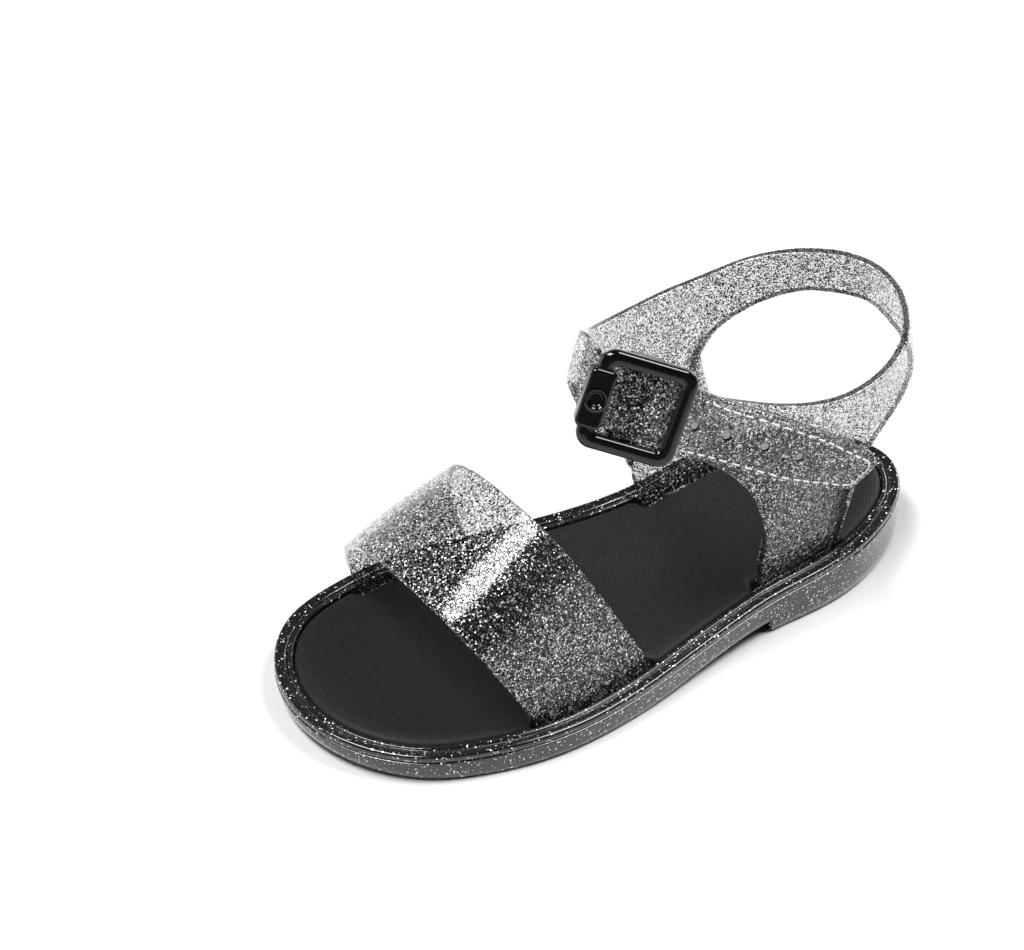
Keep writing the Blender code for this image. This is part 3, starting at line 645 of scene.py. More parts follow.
# %% Footbed
GAP = 0.3
WALL = 1.9
RECESS_INSET, BED_INSET = 4.0, 4.3
WINDOW_REACH, WINDOW_EASE = 2.4, 1.2
DISH_DEPTH = 0.6
BAND_INSET = RECESS_INSET + GAP + 0.5 * WALL
SLING_INSET = {1: BAND_INSET + 0.65, -1: BAND_INSET + 1.1}
STRAP_FEET = (
    # side, first station, last station, inset of the strap's middle
    (1, -37.6, -8.2, BAND_INSET),
    (-1, -43.9, -17.0, BAND_INSET),
    (1, 24.2, 45.8, SLING_INSET[1]),
    (-1, 22.6, 45.8, SLING_INSET[-1]),
)
INSOLE_RINGS = (
    # inset, height from the crest
    (4.50, -3.30),
    (4.30, -3.00),
    (4.30, -1.40),
    (4.70, -0.70),
    (5.60, -0.30),
    (7.20, -0.10),
)


def foot_windows(points):
    """How far the insole's edge is cut back, from 0 to about 3 mm, at plan points of the rim."""
    cut = np.zeros(points.shape[0])
    side = np.where(np.arange(len(points)) <= len(points) // 2, 1, -1)
    for where, first, last, inset in STRAP_FEET:
        y = points[:, 1]
        window = smoothstep((y - first + WINDOW_REACH) / WINDOW_EASE)
        window = window * smoothstep((last + WINDOW_REACH - y) / WINDOW_EASE)
        depth = inset + 0.5 * WALL + GAP - BED_INSET
        cut = np.maximum(cut, window * (side == where) * depth)
    return cut


profile = fine_profile(INSOLE_RINGS, 5)
cut = foot_windows(OUTLINE[LOOP])
inset = profile[:, 0, None] + cut[None]
plan = OUTLINE[LOOP][None] - OUTWARD[LOOP][None] * inset[:, :, None]
height = crest_height(plan[:, :, 1]) + profile[:, 1, None]


def dish_lift(grid):
    """The footbed's top is dished by a sine across it, to a power that broadens the hollow."""
    across = np.linspace(0.0, 1.0, grid.shape[1] + 2)[None, 1:-1, None]
    dish = -DISH_DEPTH * np.sin(np.pi * across) ** 0.7 + 0.0 * grid[:, :, 2:]
    return np.concatenate([np.zeros_like(grid[:, :, :2]), dish], axis=2)


bed_points, bed_faces = ringed_solid(np.dstack([plan, height]), (level_lift, dish_lift))
footbed = closed_mesh(
    "footbed", bed_points, bed_faces, insole_cloth, "insole", sharp=60.0
)


# %% [markdown]
# ## Straps
#
# A strap is a sheet of vinyl 1.9 mm thick with softly rounded long edges. It is made from its
# middle surface: each point is moved half the wall along the normal, less near the edges, where
# the offset follows a quarter circle. Raised or sunk detail is added to that offset, and the
# detail and the cut edge are written to the mesh too, because the vinyl colours them.

# %% Strap wall
EDGE_ROUND = 0.5
EDGE_STEPS = 5
FULL_RELIEF = 0.5


def shares_across(length, columns):
    """Places across a strap from 0 to 1, close together where the long edges are rounded."""
    length = np.asarray(length, float)[..., None]
    turn = np.linspace(0.0, 0.5 * math.pi, EDGE_STEPS)
    edge = EDGE_ROUND * (1.0 - np.cos(turn)) / length
    middle = np.linspace(0.0, 1.0, columns - 2 * EDGE_STEPS + 2)[1:-1]
    middle = edge[..., -1:] + (1.0 - 2.0 * edge[..., -1:]) * middle
    return np.concatenate([edge, middle, 1.0 - edge[..., ::-1]], axis=-1)


def edge_offset(columns):
    """Half thickness at each column: the wall's half, rounded off over the edge columns."""
    turn = np.linspace(0.0, 0.5 * math.pi, EDGE_STEPS)
    edge = 0.5 * WALL - EDGE_ROUND * (1.0 - np.sin(turn))
    return np.concatenate([edge, np.full(columns - 2 * EDGE_STEPS, 0.5 * WALL), edge[::-1]])


def grid_normals(grid):
    """Unit normals: the cross product of the steps along and across."""
    normal = np.cross(np.gradient(grid, axis=0), np.gradient(grid, axis=1))
    return normal / np.linalg.norm(normal, axis=2)[:, :, None]


def strap_piece(name, grid, node, flip=1.0, relief=None, inside=None):
    """Closed strap from its middle surface; relief and inside raise its outer and inner face."""
    normal = grid_normals(grid) * flip
    offset = edge_offset(grid.shape[1])[None, :, None]
    raised = np.zeros(grid.shape[:2]) if relief is None else relief
    pressed = np.zeros(grid.shape[:2]) if inside is None else inside
    outer = grid + normal * (offset + raised[:, :, None])
    inner = grid - normal * (offset + pressed[:, :, None])
    loops = np.concatenate([outer, inner[:, ::-1]], axis=1)
    tone = np.concatenate([raised, 0.0 * pressed], axis=1)
    rows, count = loops.shape[:2]
    wall = np.zeros((rows, count))
    wall[:, [0, count // 2 - 1, count // 2, count - 1]] = 1.0
    return closed_mesh(
        name, loops.reshape(-1, 3), rows_faces(rows, count), strap_vinyl, node,
        {"relief": np.clip(tone / FULL_RELIEF, -1.0, 1.0).ravel(), "wall": wall.ravel()},
    )


# %% [markdown]
# ## The toe band
#
# The wide band springs from both sides of the sole and arches over the toes. Its section is a
# superellipse, squarer than a half circle, because it follows the forefoot. The front edge is
# lower and the rear edge higher, and both ends go down into the slot beside the footbed.

# %% Toe band
BAND_ROWS, BAND_COLUMNS, BAND_WIDTH = 200, 46, 28.0
BAND_SINK, BAND_ROOT = 0.6, 1.2
VAMP = (
    # outer foot, peak station, inner foot, peak offset, peak height, squareness
    (-37.6, -52.6, -43.9, 11.0, 34.2, 2.6),
    (-8.2, -29.4, -17.0, 10.0, 47.4, 2.8),
)


def vamp_surface(share, angle):
    """Superellipse arc: |cos| and |sin| to the power 2 over squareness place x and z."""
    front, rear = np.array(VAMP)
    value = front + (rear - front) * share[..., None]
    outer_y, peak_y, inner_y, peak_x, peak_z, square = np.moveaxis(value, -1, 0)
    outer_side = np.cos(angle) >= 0.0
    foot_y = np.where(outer_side, outer_y, inner_y)
    line = OUTLINE - OUTWARD * BAND_INSET
    first, second = line[:HALF], line[HALF:][::-1]
    foot_x = np.where(
        outer_side,
        np.interp(foot_y, first[:, 1], first[:, 0]),
        np.interp(foot_y, second[:, 1], second[:, 0]),
    )
    foot_z = crest_height(foot_y) - BAND_SINK
    spread = np.abs(np.cos(angle)) ** (2.0 / square)
    lift = np.maximum(np.sin(angle), 0.0) ** (2.0 / square)
    x = peak_x + (foot_x - peak_x) * spread
    y = peak_y + (foot_y - peak_y) * (1.0 - lift)
    return np.stack([x, y, foot_z + (peak_z - foot_z) * lift], axis=-1)


def even_angles(count):
    """Angles from 0 to pi whose points lie at even distances along the band's middle."""
    angle = np.linspace(0.0, math.pi, 4001)
    knots = chord_knots(vamp_surface(np.full(angle.shape, 0.5), angle))
    return np.interp(np.linspace(0.0, knots[-1], count), knots, angle)


angles = even_angles(BAND_ROWS)
angle, share = np.meshgrid(angles, shares_across(BAND_WIDTH, BAND_COLUMNS), indexing="ij")
band = vamp_surface(share, angle)
down = np.array([0.0, 0.0, -BAND_ROOT])
first, last = band[:1], band[-1:]
band = np.concatenate([first + 2.0 * down, first + down, band, last + down, last + 2.0 * down])
strap_piece("toe_band", band, "vamp_band")

# %% [markdown]
# ## The buckle's directions
#
# The frame, the clip and the strap under them share one set of directions: along the strap,
# across it upwards, and outwards from the ankle.

# %% Buckle directions
BUCKLE_CENTRE = np.array([16.5, -5.6, 65.8])
YAW, DIP = math.radians(38.0), math.radians(18.0)
ALONG = np.array([math.cos(DIP) * math.sin(YAW), math.cos(DIP) * math.cos(YAW), -math.sin(DIP)])
ACROSS = np.array([-0.08, 0.42, 0.90])
ACROSS = ACROSS - ALONG * ACROSS.dot(ALONG)
ACROSS /= np.linalg.norm(ACROSS)
OUT = np.cross(ALONG, ACROSS)
print("buckle directions:", np.round([ALONG, ACROSS, OUT], 2).tolist())


def buckle_point(along, across, out):
    """Point given in the buckle's own directions, for numbers or arrays."""
    parts = [np.asarray(v, float)[..., None] for v in (along, across, out)]
    return BUCKLE_CENTRE + ALONG * parts[0] + ACROSS * parts[1] + OUT * parts[2]


# %% [markdown]
# ## The ankle sling
#
# One long moulding starts at the bar under the buckle, widens into the outer side panel that
# stands on the sole, runs round the heel, widens again into the inner panel, crosses the instep,
# and turns over at the buckle's front bar. Two edge lines are enough to describe it: straight ribs
# join the upper edge to the lower one, bowed slightly outwards.

# %% Sling edges
HALF_WIDTH = 7.0
UNDER_BUCKLE = (-5.0, 2.0, 9.0)
FOLD_ALONG, FOLD_ACROSS, FOLD_HALF, FOLD_OUT = -10.8, 2.8, 6.2, -1.6
SLOT_DEPTH, BOW = 3.6, 0.02
SIDE_ROWS = (
    # upper x, y, z, lower x, y, z, or the station where the strap stands on the sole
    ((20.6, 11.2, 63.6), (20.2, 8.0, 49.1)),
    ((22.8, 17.2, 60.9), (22.6, 14.0, 44.3)),
    ((25.0, 22.6, 59.2), (24.7, 19.2, 37.0)),
    ((26.6, 27.2, 58.1), (25.6, 22.4, 26.6)),
    ((27.8, 31.2, 57.4), 24.2),
    ((28.8, 36.2, 57.0), 35.0),
    ((29.1, 41.2, 57.0), 45.8),
    ((28.8, 46.0, 57.5), (27.0, 42.2, 20.2)),
    ((27.8, 51.0, 58.3), (28.3, 42.2, 30.2)),
    ((25.6, 56.2, 59.1), (28.5, 46.1, 38.8)),
    ((21.9, 61.4, 59.9), (27.0, 54.2, 44.9)),
    ((16.0, 66.4, 60.3), (21.9, 63.8, 48.5)),
    ((9.1, 70.0, 60.8), (11.4, 70.8, 49.6)),
    ((2.2, 70.4, 61.9), (0.2, 72.2, 51.0)),
    ((-4.6, 66.6, 63.0), (-10.8, 66.0, 50.8)),
    ((-11.6, 59.8, 62.6), (-18.6, 54.8, 47.2)),
    ((-17.9, 53.2, 60.2), (-21.8, 44.4, 40.0)),
    ((-21.4, 47.8, 57.6), (-21.0, 39.6, 31.4)),
    ((-23.2, 42.4, 56.0), (-19.0, 40.2, 22.0)),
    ((-24.4, 36.6, 55.1), 45.8),
    ((-24.8, 30.6, 54.5), 34.0),
    ((-24.2, 24.2, 54.5), 22.6),
    ((-22.6, 16.8, 55.3), (-17.4, 20.4, 19.6)),
    ((-19.0, 9.3, 57.9), (-16.4, 15.2, 28.8)),
    ((-13.6, 4.6, 62.6), (-12.8, 9.6, 36.8)),
    ((-7.0, -0.4, 68.6), (-7.6, 2.0, 46.6)),
    ((-1.0, -5.0, 73.8), (-2.0, -5.6, 56.8)),
    ((4.2, -9.2, 77.8), (3.4, -11.9, 66.4)),
)


def sling_edges():
    """Upper and lower edge rows from the bar under the buckle to the turn at the front."""
    rows = []
    for along in UNDER_BUCKLE:
        rows.append([buckle_point(along, s * HALF_WIDTH, -1.5 * WALL - GAP) for s in (1, -1)])
    for upper, lower in SIDE_ROWS:
        if isinstance(lower, float):
            side = 1 if upper[0] > 0.0 else -1
            root = float(crest_height(lower)) - (SLOT_DEPTH - 2.0 * GAP)
            lower = (rim_point(side, lower, SLING_INSET[side]), lower, root)
        rows.append([np.array(upper), np.array(lower)])
    fold = [buckle_point(FOLD_ALONG, FOLD_ACROSS + s * FOLD_HALF, FOLD_OUT) for s in (1, -1)]
    rows.append(fold)
    table = np.array(rows)
    return table[:, 0], table[:, 1]


UPPER, LOWER = sling_edges()
KNOTS = np.arange(len(UPPER), dtype=float)
UPPER_SLOPES, LOWER_SLOPES = even_slopes(KNOTS, UPPER), held_slopes(KNOTS, LOWER)


def sling_surface(station, share):
    """Rib from the upper to the lower edge, bowed out as a parabola by a share of its length."""
    upper = curve_at(KNOTS, UPPER, UPPER_SLOPES, station)
    lower = curve_at(KNOTS, LOWER, LOWER_SLOPES, station)
    ahead = curve_at(KNOTS, UPPER, UPPER_SLOPES, np.minimum(station + 0.05, KNOTS[-1]))
    behind = curve_at(KNOTS, UPPER, UPPER_SLOPES, np.maximum(station - 0.05, 0.0))
    rib = lower - upper
    out = np.cross(rib, ahead - behind)
    out /= np.linalg.norm(out, axis=-1, keepdims=True)
    length = np.linalg.norm(rib, axis=-1)
    bow = BOW * length * 4.0 * share * (1.0 - share)
    return upper + rib * share[..., None] + out * bow[..., None]


# %% [markdown]
# ## The strap's free end
#
# After the turn the strap passes through the buckle and lies on the outer side panel, a wall
# thickness above it. Its outline is a short table seen from the side. How far out it lies is read
# from the panel itself: each point takes a plane fitted to the panel's points near it, the near
# ones counting most, so the free end stays smooth and runs on straight past the panel's edge.

# %% Free end
FREE_END = (
    # y, z, half width
    (8.4, 57.8, 7.0),
    (18.4, 52.2, 7.0),
    (25.0, 48.3, 6.8),
    (32.0, 44.0, 6.3),
    (38.0, 40.2, 5.5),
    (44.1, 36.6, 4.7),
)
IN_BUCKLE = (
    # along, drop of the middle line, half width
    (-8.2, 0.4, 7.5),
    (8.0, 0.4, 7.3),
)
COLUMNS, SLING_ROWS, FREE_ROWS, TIP_ROWS = 70, 420, 190, 14
PANEL_SPAN, PANEL_ROWS, PANEL_COLUMNS = 13.0, 105, 33
LIFT_OVER_PANEL, FIT_REACH = WALL + 0.5, 2.0
TIP_ROUND, TIP_BLUNT = 3.8, 0.4
TIP_LIFT, LIFT_START, LIFT_LENGTH = 2.0, 33.0, 11.1


def over_panel(y, z):
    """Weighted plane fits: solve the normal equations of 1, y, z for all places at once."""
    stations = np.linspace(0.0, PANEL_SPAN, PANEL_ROWS)
    station, share = np.meshgrid(stations, np.linspace(0.0, 1.0, PANEL_COLUMNS), indexing="ij")
    grid = sling_surface(station, share)
    points = (grid - grid_normals(grid) * LIFT_OVER_PANEL).reshape(-1, 3)
    where = np.stack([y, z], axis=-1)
    found = np.zeros(y.shape)
    for k in range(y.shape[1]):
        away = points[None, :, 1:] - where[:, k, None]
        weight = np.exp(-0.5 * (away ** 2).sum(axis=2) / FIT_REACH ** 2)
        weight /= weight.sum(axis=1, keepdims=True)
        terms = np.concatenate([np.ones_like(away[:, :, :1]), away], axis=2)
        weighted = (terms * weight[:, :, None]).transpose(0, 2, 1)
        right = weighted @ points[:, 0]
        found[:, k] = np.linalg.solve(weighted @ terms, right[:, :, None])[:, 0, 0]
    return found


def free_end_grid():
    """Middle surface of the free end, with the distance from its tip and its middle line."""
    table = []
    for along, drop, half in IN_BUCKLE:
        middle = buckle_point(along, 0.0, 0.0)
        table.append((middle[1], middle[2] - drop, half))
    table = np.array(table + list(FREE_END))
    knots = chord_knots(table[:, :2])
    slopes = even_slopes(knots, table)
    ends = np.linspace(knots[0], knots[-1] - TIP_ROUND, FREE_ROWS)
    turn = np.linspace(0.0, 0.5 * math.pi, TIP_ROWS)[1:]
    where = np.concatenate([ends, knots[-1] - TIP_ROUND * np.cos(turn)])
    line = curve_at(knots, table, slopes, where)
    ahead = (curve_at(knots, table, slopes, where + 0.01) - line)[:, :2]
    ahead /= np.linalg.norm(ahead, axis=1)[:, None]
    left = np.clip((where - ends[-1]) / TIP_ROUND, 0.0, 1.0)
    width = line[:, 2] * (TIP_BLUNT + (1.0 - TIP_BLUNT) * np.sqrt(1.0 - left ** 2))
    reach = width[:, None] * (1.0 - 2.0 * shares_across(2.0 * HALF_WIDTH, COLUMNS))
    y = line[:, :1] - ahead[:, 1:] * reach
    z = line[:, 1:2] + ahead[:, :1] * reach
    lift = TIP_LIFT * smoothstep((y - LIFT_START) / LIFT_LENGTH)
    grid = np.stack([over_panel(y, z) + lift, y, z], axis=-1)
    return grid, knots[-1] - where, reach, width


free_grid, from_tip, reach, half_width = free_end_grid()
print("free end in mm:", round(float(from_tip[0]), 1))

# %% [markdown]
# A row of raised dashes runs inside the free end's edge and round its tip, like a line of thread,
# and four round marks lie on its middle line. Both are relief: a height for each point, from its
# distance to the edge, to the tip and to each mark.

# %% Dashes and round marks
DASH_INSET, DASH_TURN, DASH_SPREAD, DASH_HEIGHT = 1.6, 3.6, 0.34, 0.25
DASH_PITCH, DASH_SHIFT, DASH_EASE, DASH_FROM_FRAME = 2.9, 0.62, 0.25, 17.0
MARK_PLACES, MARK_RADIUS, MARK_SLOPE, MARK_DEPTH = (20.6, 29.2, 37.8, 46.4), 1.15, 0.55, 0.5


def free_end_relief():
    """Bell curve across the dashes' line, cut into dashes by a sine, less a cone at each mark."""
    tip = from_tip[:, None]
    inside = half_width[:, None] - np.abs(reach)
    corner = np.hypot(np.maximum(DASH_TURN - inside, 0.0), np.maximum(DASH_TURN - tip, 0.0))
    line = np.where(tip < DASH_TURN, DASH_TURN - corner, inside) - DASH_INSET
    ridge = np.exp(-(line / DASH_SPREAD) ** 2)
    dash = smoothstep((np.sin(tip * 2.0 * math.pi / DASH_PITCH) + DASH_SHIFT) / DASH_EASE)
    dash = np.where(tip < DASH_TURN + 1.2, 1.0, dash)
    dash = dash * smoothstep((from_tip.max() - tip - DASH_FROM_FRAME) / 0.5)
    relief = DASH_HEIGHT * ridge * dash
    for place in MARK_PLACES:
        radius = np.sqrt((tip - place) ** 2 + reach ** 2)
        relief = relief - MARK_DEPTH * np.clip((MARK_RADIUS - radius) / MARK_SLOPE, 0.0, 1.0)
    return relief


# %% [markdown]
# The turn joins the sling to the free end. It is one Hermite span, so it leaves and arrives in the
# directions of the two strips that it joins, with a rounded front like folded vinyl. The inside of
# the outer panel has a small moulded pad with a rim.

# %% Turn at the front bar, and the whole strap
TURN_ROWS, TURN_PULL = 12, 3.5
PAD_ALONG, PAD_DOWN, PAD_HALF_LENGTH, PAD_HALF_WIDTH = 17.0, 7.2, 11.0, 3.0
PAD_RIM, PAD_RISE = 0.25, 0.12


def turn_rows(first, second, count, pull):
    """Hermite span from one grid's end to another's start, with both slopes of one length."""
    start, end = first[-1], second[0]
    lead = first[-1] - first[-2]
    trail = second[1] - second[0]
    lead *= pull / np.linalg.norm(lead, axis=1, keepdims=True)
    trail *= pull / np.linalg.norm(trail, axis=1, keepdims=True)
    t = np.linspace(0.0, 1.0, count + 2)[1:-1, None, None]
    return (
        start * (1 + 2 * t) * (1 - t) ** 2 + lead * t * (1 - t) ** 2
        + end * t * t * (3 - 2 * t) + trail * t * t * (t - 1)
    )


def pad_relief(middle_along, length, shares):
    """Distance to a rounded rectangle: a bell curve on it is the rim, inside it is the pad."""
    a = np.abs(middle_along[:, None] - PAD_ALONG) - PAD_HALF_LENGTH
    b = np.abs(shares * length[:, None] - PAD_DOWN) - PAD_HALF_WIDTH
    outside = np.sqrt(np.maximum(a, 0.0) ** 2 + np.maximum(b, 0.0) ** 2)
    distance = outside + np.minimum(np.maximum(a, b), 0.0) - 1.0
    return PAD_RIM * np.exp(-(distance / 0.35) ** 2) + PAD_RISE * smoothstep(-distance / 0.4)


stations = np.linspace(0.0, KNOTS[-1], SLING_ROWS)
upper_line = curve_at(KNOTS, UPPER, UPPER_SLOPES, stations)
lower_line = curve_at(KNOTS, LOWER, LOWER_SLOPES, stations)
length = np.linalg.norm(upper_line - lower_line, axis=1)
share = shares_across(length, COLUMNS)
sling = sling_surface(np.broadcast_to(stations[:, None], share.shape), share)
pad = pad_relief(chord_knots(sling[:, COLUMNS // 2]), length, share)
bend = turn_rows(sling, free_grid, TURN_ROWS, TURN_PULL)
strap = np.concatenate([sling, bend, free_grid])
relief = np.concatenate([np.zeros((len(sling) + len(bend), COLUMNS)), free_end_relief()])
inside = np.concatenate([pad, np.zeros((len(strap) - len(pad), COLUMNS))])
strap_piece("ankle_strap", strap, "ankle_sling", -1.0, relief, inside)

# %% [markdown]
# ## The buckle
#
# A square frame of polished black plastic with rounded bars, two cheeks and a bar under the strap,
# and a clip over the front bar with a thumb dimple. The frame could be a bevelled box with a hole.
# Here it is a rounded section carried round a rounded rectangle, because the rounded edges catch
# the lamps in thin bright lines while the flat top stays black.

# %% Frame
FRAME_LENGTH, FRAME_WIDTH = 20.4, 20.8
BAR_WIDTH, BAR_HEIGHT, SEAT = 3.1, 2.4, 0.7
CORNER, WINDOW_CORNER, CORNER_STEPS = 3.4, 1.4, 14
OUTER_ROUND, INNER_ROUND, ROUND_STEPS = 1.1, 0.85, 12


def rounded_rectangle(half_length, half_width, corner):
    """Rounded rectangle: straight runs joined by quarter circles, as along and across arrays."""
    turn = np.linspace(0.0, 0.5 * math.pi, CORNER_STEPS)
    along, across = [], []
    for quarter, (sx, sy) in enumerate(((1, 1), (-1, 1), (-1, -1), (1, -1))):
        angle = turn + 0.5 * math.pi * quarter
        along.append(sx * (half_length - corner) + corner * np.cos(angle))
        across.append(sy * (half_width - corner) + corner * np.sin(angle))
    return np.concatenate(along), np.concatenate(across)


def carried_ring(section):
    """Ring mesh from a closed section of (inset, out) pairs carried round the frame."""
    rings = []
    for inset, out in section:
        corner = CORNER - inset * (CORNER - WINDOW_CORNER) / BAR_WIDTH
        half_length, half_width = 0.5 * FRAME_LENGTH - inset, 0.5 * FRAME_WIDTH - inset
        rings.append(buckle_point(*rounded_rectangle(half_length, half_width, corner), out))
    return np.array(rings)


def bar_section():
    """Section of the frame's bar: well rounded outer edge, nearly flat top, rounded inner edge."""
    turn = np.linspace(0.0, 0.5 * math.pi, ROUND_STEPS)
    crown = SEAT + BAR_HEIGHT
    outer = np.column_stack([
        OUTER_ROUND - OUTER_ROUND * np.cos(turn), crown - 1.2 + OUTER_ROUND * np.sin(turn),
    ])
    top = np.array([[1.4, crown - 0.03], [1.9, crown - 0.05]])
    inner = np.column_stack([
        2.2 + INNER_ROUND * np.sin(turn), crown - 0.95 + INNER_ROUND * np.cos(turn),
    ])
    foot = np.array([[3.1, SEAT + 0.3], [2.9, SEAT], [0.3, SEAT], [0.0, SEAT + 0.3]])
    return np.vstack([outer, top, inner, foot])


rings = carried_ring(bar_section())
closed_mesh(
    "buckle_ring", rings.reshape(-1, 3), grid_faces(*rings.shape[:2], True, True).tolist(),
    buckle_black, "buckle_frame", sharp=60.0,
)

# %% [markdown]
# Under the strap, two cheeks and a bar hold the frame. Their edges are hardly seen, so each is a
# superellipsoid, one short formula that gives flat sides and rounded edges.

# %% Cheeks and bar
BLOCK_POWER, BLOCK_ROWS, BLOCK_COLUMNS = 0.12, 24, 40
YOKE_HALF_LENGTH, CHEEK_HALF, BAR_HALF, CHEEK_BELOW_TOP = 3.5, 0.8, 0.6, 1.2
CHEEK_REACH = HALF_WIDTH + 2.0 * GAP
UNDER = -2.0 * WALL - 2.0 * GAP


def soft_block(centre, half):
    """Superellipsoid block: cosines and sines to a small power make flat sides, round edges."""
    up = np.linspace(-0.5 * math.pi, 0.5 * math.pi, BLOCK_ROWS)[:, None]
    round_ = np.linspace(-math.pi, math.pi, BLOCK_COLUMNS, endpoint=False)[None, :]

    def bent(value):
        return np.sign(value) * np.abs(value) ** BLOCK_POWER

    a = centre[0] + half[0] * bent(np.cos(up)) * bent(np.cos(round_))
    b = centre[1] + half[1] * bent(np.cos(up)) * bent(np.sin(round_))
    c = centre[2] + half[2] * bent(np.sin(up)) * np.ones_like(round_)
    return a, b, c


def block_mesh(name, parts, node):
    """One mesh from several blocks given in the buckle's directions, poles closed."""
    points, faces, size = [], [], 0
    for a, b, c in parts:
        rows, columns = a.shape
        grid = buckle_point(a, b, c)
        body = grid[1:-1].reshape(-1, 3)
        poles = np.array([grid[0].mean(axis=0), grid[-1].mean(axis=0)])
        points += [body, poles]
        faces += (grid_faces(rows - 2, columns, wrap_columns=True) + size).tolist()
        low, high = size + len(body), size + len(body) + 1
        last = size + (rows - 3) * columns
        m = np.arange(columns)
        n = (m + 1) % columns
        faces += np.column_stack([np.full(columns, low), size + n, size + m]).tolist()
        faces += np.column_stack([np.full(columns, high), last + m, last + n]).tolist()
        size += len(body) + 2
    return closed_mesh(
        name, np.concatenate(points), faces, buckle_black, node, sharp=60.0
    )


cheek_low, cheek_high = UNDER - 2.0 * BAR_HALF, SEAT + BAR_HEIGHT - CHEEK_BELOW_TOP
cheek_mid, cheek_half = 0.5 * (cheek_low + cheek_high), 0.5 * (cheek_high - cheek_low)
cheek_size = (YOKE_HALF_LENGTH, CHEEK_HALF, cheek_half)
blocks = [soft_block((0.0, s * (CHEEK_REACH + CHEEK_HALF), cheek_mid), cheek_size) for s in (1, -1)]
bar_size = (YOKE_HALF_LENGTH, CHEEK_REACH + 1.0, BAR_HALF)
blocks.append(soft_block((0.0, 0.0, UNDER - BAR_HALF), bar_size))
block_mesh("buckle_yoke", blocks, "buckle_frame")

# %% [markdown]
# The clip is a block with a hollow for the thumb. A superellipsoid crowds its points at the edges,
# too few in the hollow, so the clip is built from rings: the rounded outline grows from the middle
# of the top, turns down over a quarter circle, and closes again under the block.

# %% Clip
CLIP_HALF_LENGTH, CLIP_HALF_WIDTH, CLIP_HEIGHT, CLIP_EDGE, CLIP_CORNER = 2.75, 6.2, 3.4, 0.7, 0.6
CLIP_COLUMNS, TOP_RINGS, EDGE_RINGS, CLIP_FOOT = 160, 70, 8, 0.3
DIMPLE_RADIUS, DIMPLE_EASE, DIMPLE_DEPTH = 1.95, 0.8, 0.7
LIP_RADIUS, LIP_SPREAD, LIP_HEIGHT = 2.1, 0.25, 0.1


def clip_outline():
    """The clip's flat top, resampled evenly, with the outward directions at its points."""
    loop = np.column_stack(rounded_rectangle(
        CLIP_HALF_LENGTH - CLIP_EDGE, CLIP_HALF_WIDTH - CLIP_EDGE, CLIP_CORNER
    ))
    loop = np.vstack([loop, loop[:1]])
    knots = chord_knots(loop)
    even = np.linspace(0.0, knots[-1], CLIP_COLUMNS, endpoint=False)
    outline = [np.interp(even, knots, loop[:, k]) for k in (0, 1)]
    step_a, step_b = [np.roll(line, -1) - np.roll(line, 1) for line in outline]
    size = np.hypot(step_a, step_b)
    return outline, (step_b / size, -step_a / size)


def clip_block():
    """Rings of the top, the rounded edge, the sides and the foot, in the buckle's directions."""
    (along, across), (out_a, out_b) = clip_outline()
    grow = np.linspace(0.0, 1.0, TOP_RINGS)[:, None]
    top_a, top_b = grow * along, grow * across
    radius = np.sqrt(top_a ** 2 + top_b ** 2)
    top_c = CLIP_HEIGHT - DIMPLE_DEPTH * smoothstep((DIMPLE_RADIUS - radius) / DIMPLE_EASE)
    top_c = top_c + LIP_HEIGHT * np.exp(-((radius - LIP_RADIUS) / LIP_SPREAD) ** 2)
    turn = np.linspace(0.0, 0.5 * math.pi, EDGE_RINGS)[:, None]
    edge_a = along + out_a * CLIP_EDGE * np.sin(turn)
    edge_b = across + out_b * CLIP_EDGE * np.sin(turn)
    edge_c = CLIP_HEIGHT - CLIP_EDGE * (1.0 - np.cos(turn)) + 0.0 * edge_a
    side_a, side_b = np.repeat(edge_a[-1:], 2, axis=0), np.repeat(edge_b[-1:], 2, axis=0)
    side_c = np.array([[CLIP_FOOT], [0.0]]) + 0.0 * side_a
    middle = np.zeros((1, CLIP_COLUMNS))
    a = np.concatenate([top_a, edge_a[1:], side_a, middle])
    b = np.concatenate([top_b, edge_b[1:], side_b, middle])
    c = np.concatenate([top_c, edge_c[1:], side_c, middle])
    return a - 0.5 * FRAME_LENGTH + 0.5 * BAR_WIDTH, b, c + SEAT


block_mesh("buckle_thumb_clip", [clip_block()], "buckle_clip")

# %% [markdown]
# ## Floor, light and camera
#
# The photograph is a plain product shot: a white floor, a white surround that glows in the
# smooth vinyl, and one long softbox overhead, which makes the bright bar across the toe band. A
# mid grey floor looks white under these lamps, and mirrors less of their light into the gloss than
# a white one would.

# %% Floor
FLOOR_HALF, FLOOR_TONE = 4.0, 0.68


def make_floor():
    """Large pale sheet just under the sole."""
    mesh = bpy.data.meshes.new("floor")
    corners = [(x * FLOOR_HALF, y * FLOOR_HALF, 0) for x, y in ((-1, -1), (1, -1), (1, 1), (-1, 1))]
    mesh.from_pydata(corners, [], [(0, 1, 2, 3)])
    floor = bpy.data.objects.new("floor", mesh)
    bpy.context.scene.collection.objects.link(floor)
    material, _, shader = new_material("floor_paper")
    tone = (FLOOR_TONE, FLOOR_TONE, FLOOR_TONE, 1.0)
    set_values(shader, {"Base Color": tone, "Roughness": 0.8})
    mesh.materials.append(material)


make_floor()
print("floor:", 2.0 * FLOOR_HALF, "m wide")

# %% [markdown]
# The world is white at the horizon and dark overhead, as in a studio whose ceiling is dark, so the
# softbox stands out. It is dimmed on the buckle's side, because the buckle's face and the strap
# beside it mirror a dark room there. A gradient does this without any picture.

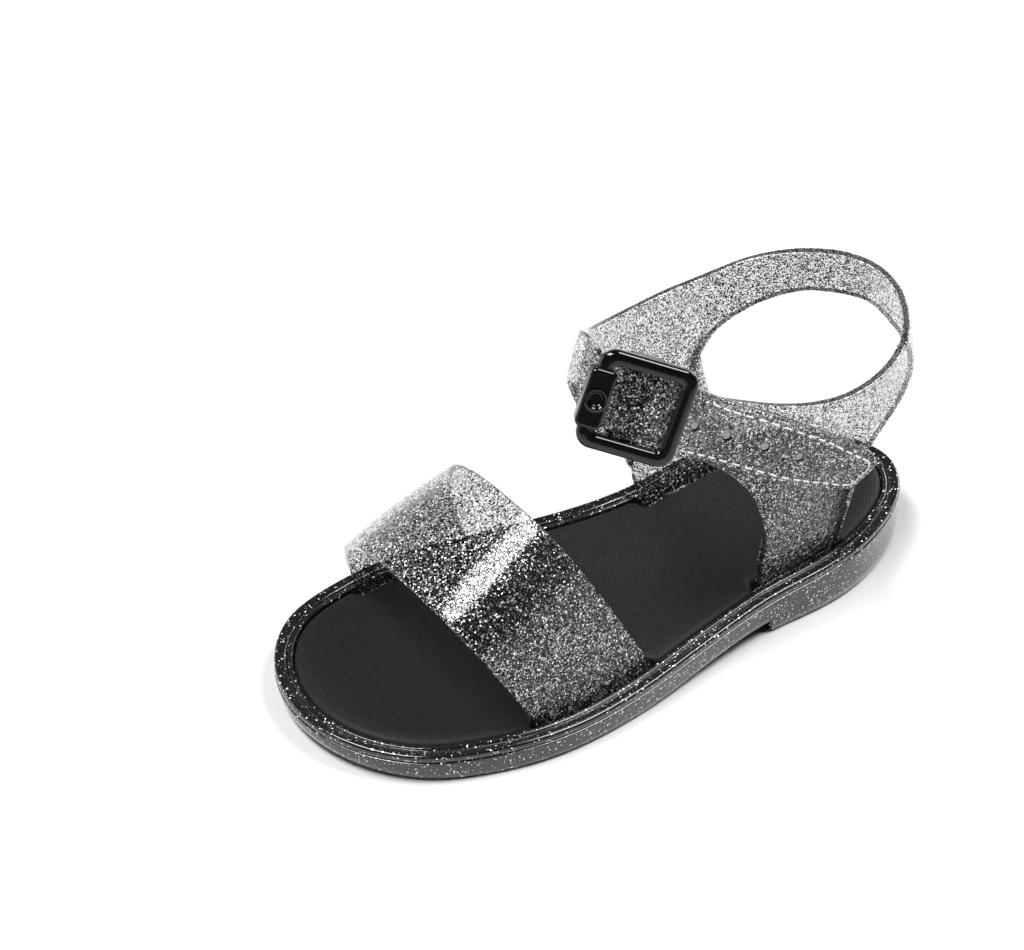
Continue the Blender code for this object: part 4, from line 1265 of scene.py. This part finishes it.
# %% World and lamps
SKY_STOPS = ((0.0, 1.0), (0.14, 0.9), (0.32, 0.08), (1.0, 0.02))
DIM_FROM, DIM_TO, DIM_TONE = 0.45, -0.35, 0.1
AIM = (0.0, 0.0, 0.03)
LAMPS = (
    # name, place, size, power
    ("softbox_over", (-0.06, -0.42, 1.0), (0.86, 0.27), 15.0),
    ("softbox_left", (-1.3, -0.9, 0.5), (0.8, 0.8), 4.0),
    ("softbox_top", (0.27, 0.38, 0.92), (0.4, 0.4), 8.0),
    ("softbox_back", (-0.2, 1.4, 0.5), (0.9, 0.5), 7.0),
)


def make_world():
    """Sky by height: white at the horizon to a dark ceiling, times a dimming by side."""
    world = bpy.data.worlds.new("studio")
    bpy.context.scene.world = world
    world.use_nodes = True
    tree = world.node_tree
    back = tree.nodes["Background"]
    place = tree.nodes.new("ShaderNodeTexCoord")
    split = tree.nodes.new("ShaderNodeSeparateXYZ")
    tree.links.new(place.outputs["Generated"], split.inputs[0])
    ramp = tree.nodes.new("ShaderNodeValToRGB")
    tree.links.new(split.outputs["Z"], ramp.inputs["Fac"])
    while len(ramp.color_ramp.elements) < len(SKY_STOPS):
        ramp.color_ramp.elements.new(0.5)
    for element, (position, value) in zip(ramp.color_ramp.elements, SKY_STOPS):
        element.position = position
        element.color = (value, value, value, 1.0)
    side = tree.nodes.new("ShaderNodeMapRange")
    side.interpolation_type = "SMOOTHSTEP"
    set_values(side, {"From Min": DIM_FROM, "From Max": DIM_TO, "To Min": DIM_TONE})
    tree.links.new(split.outputs["X"], side.inputs["Value"])
    shade = vector_node(tree, "SCALE", ramp.outputs["Color"], side.outputs["Result"])
    tree.links.new(shade, back.inputs["Color"])


def soft_box(name, place, size, power):
    """Rectangular area lamp at a place, aimed at the sandal."""
    light = bpy.data.lights.new(name, "AREA")
    light.shape = "RECTANGLE"
    light.size, light.size_y = size
    light.energy = power
    lamp = bpy.data.objects.new(name, light)
    bpy.context.scene.collection.objects.link(lamp)
    lamp.location = place
    lamp.rotation_euler = (Vector(AIM) - Vector(place)).to_track_quat("-Z", "Y").to_euler()


make_world()
for lamp in LAMPS:
    soft_box(*lamp)
print("lamps:", [lamp[0] for lamp in LAMPS])

# %% [markdown]
# The camera stands where the photograph's perspective puts it. Its lens comes from the same fit,
# in pixels of the photograph's width, which a sensor width turns into millimetres.

# %% Camera
FOCAL_PIXELS, PHOTO_WIDTH, SENSOR = 2650.0, 1024.0, 36.0
CAMERA_PLACE, CAMERA_AHEAD = (0.3437, -0.2702, 0.3730), (-0.6432, 0.4612, -0.6112)


def make_camera():
    """Level camera: its axes are right, up and back, from the direction it looks in."""
    data = bpy.data.cameras.new("camera")
    data.sensor_width = SENSOR
    data.lens = FOCAL_PIXELS / PHOTO_WIDTH * SENSOR
    data.clip_start, data.clip_end = 0.01, 20.0
    camera = bpy.data.objects.new("camera", data)
    bpy.context.scene.collection.objects.link(camera)
    forward = Vector(CAMERA_AHEAD).normalized()
    right = forward.cross(Vector((0.0, 0.0, 1.0))).normalized()
    up = right.cross(forward)
    turn = Matrix((right, up, -forward)).transposed()
    camera.matrix_world = Matrix.Translation(CAMERA_PLACE) @ turn.to_4x4()
    bpy.context.scene.camera = camera
    print("lens in mm:", round(data.lens, 1))


make_camera()
bpy.context.scene.view_settings.view_transform = "Standard"
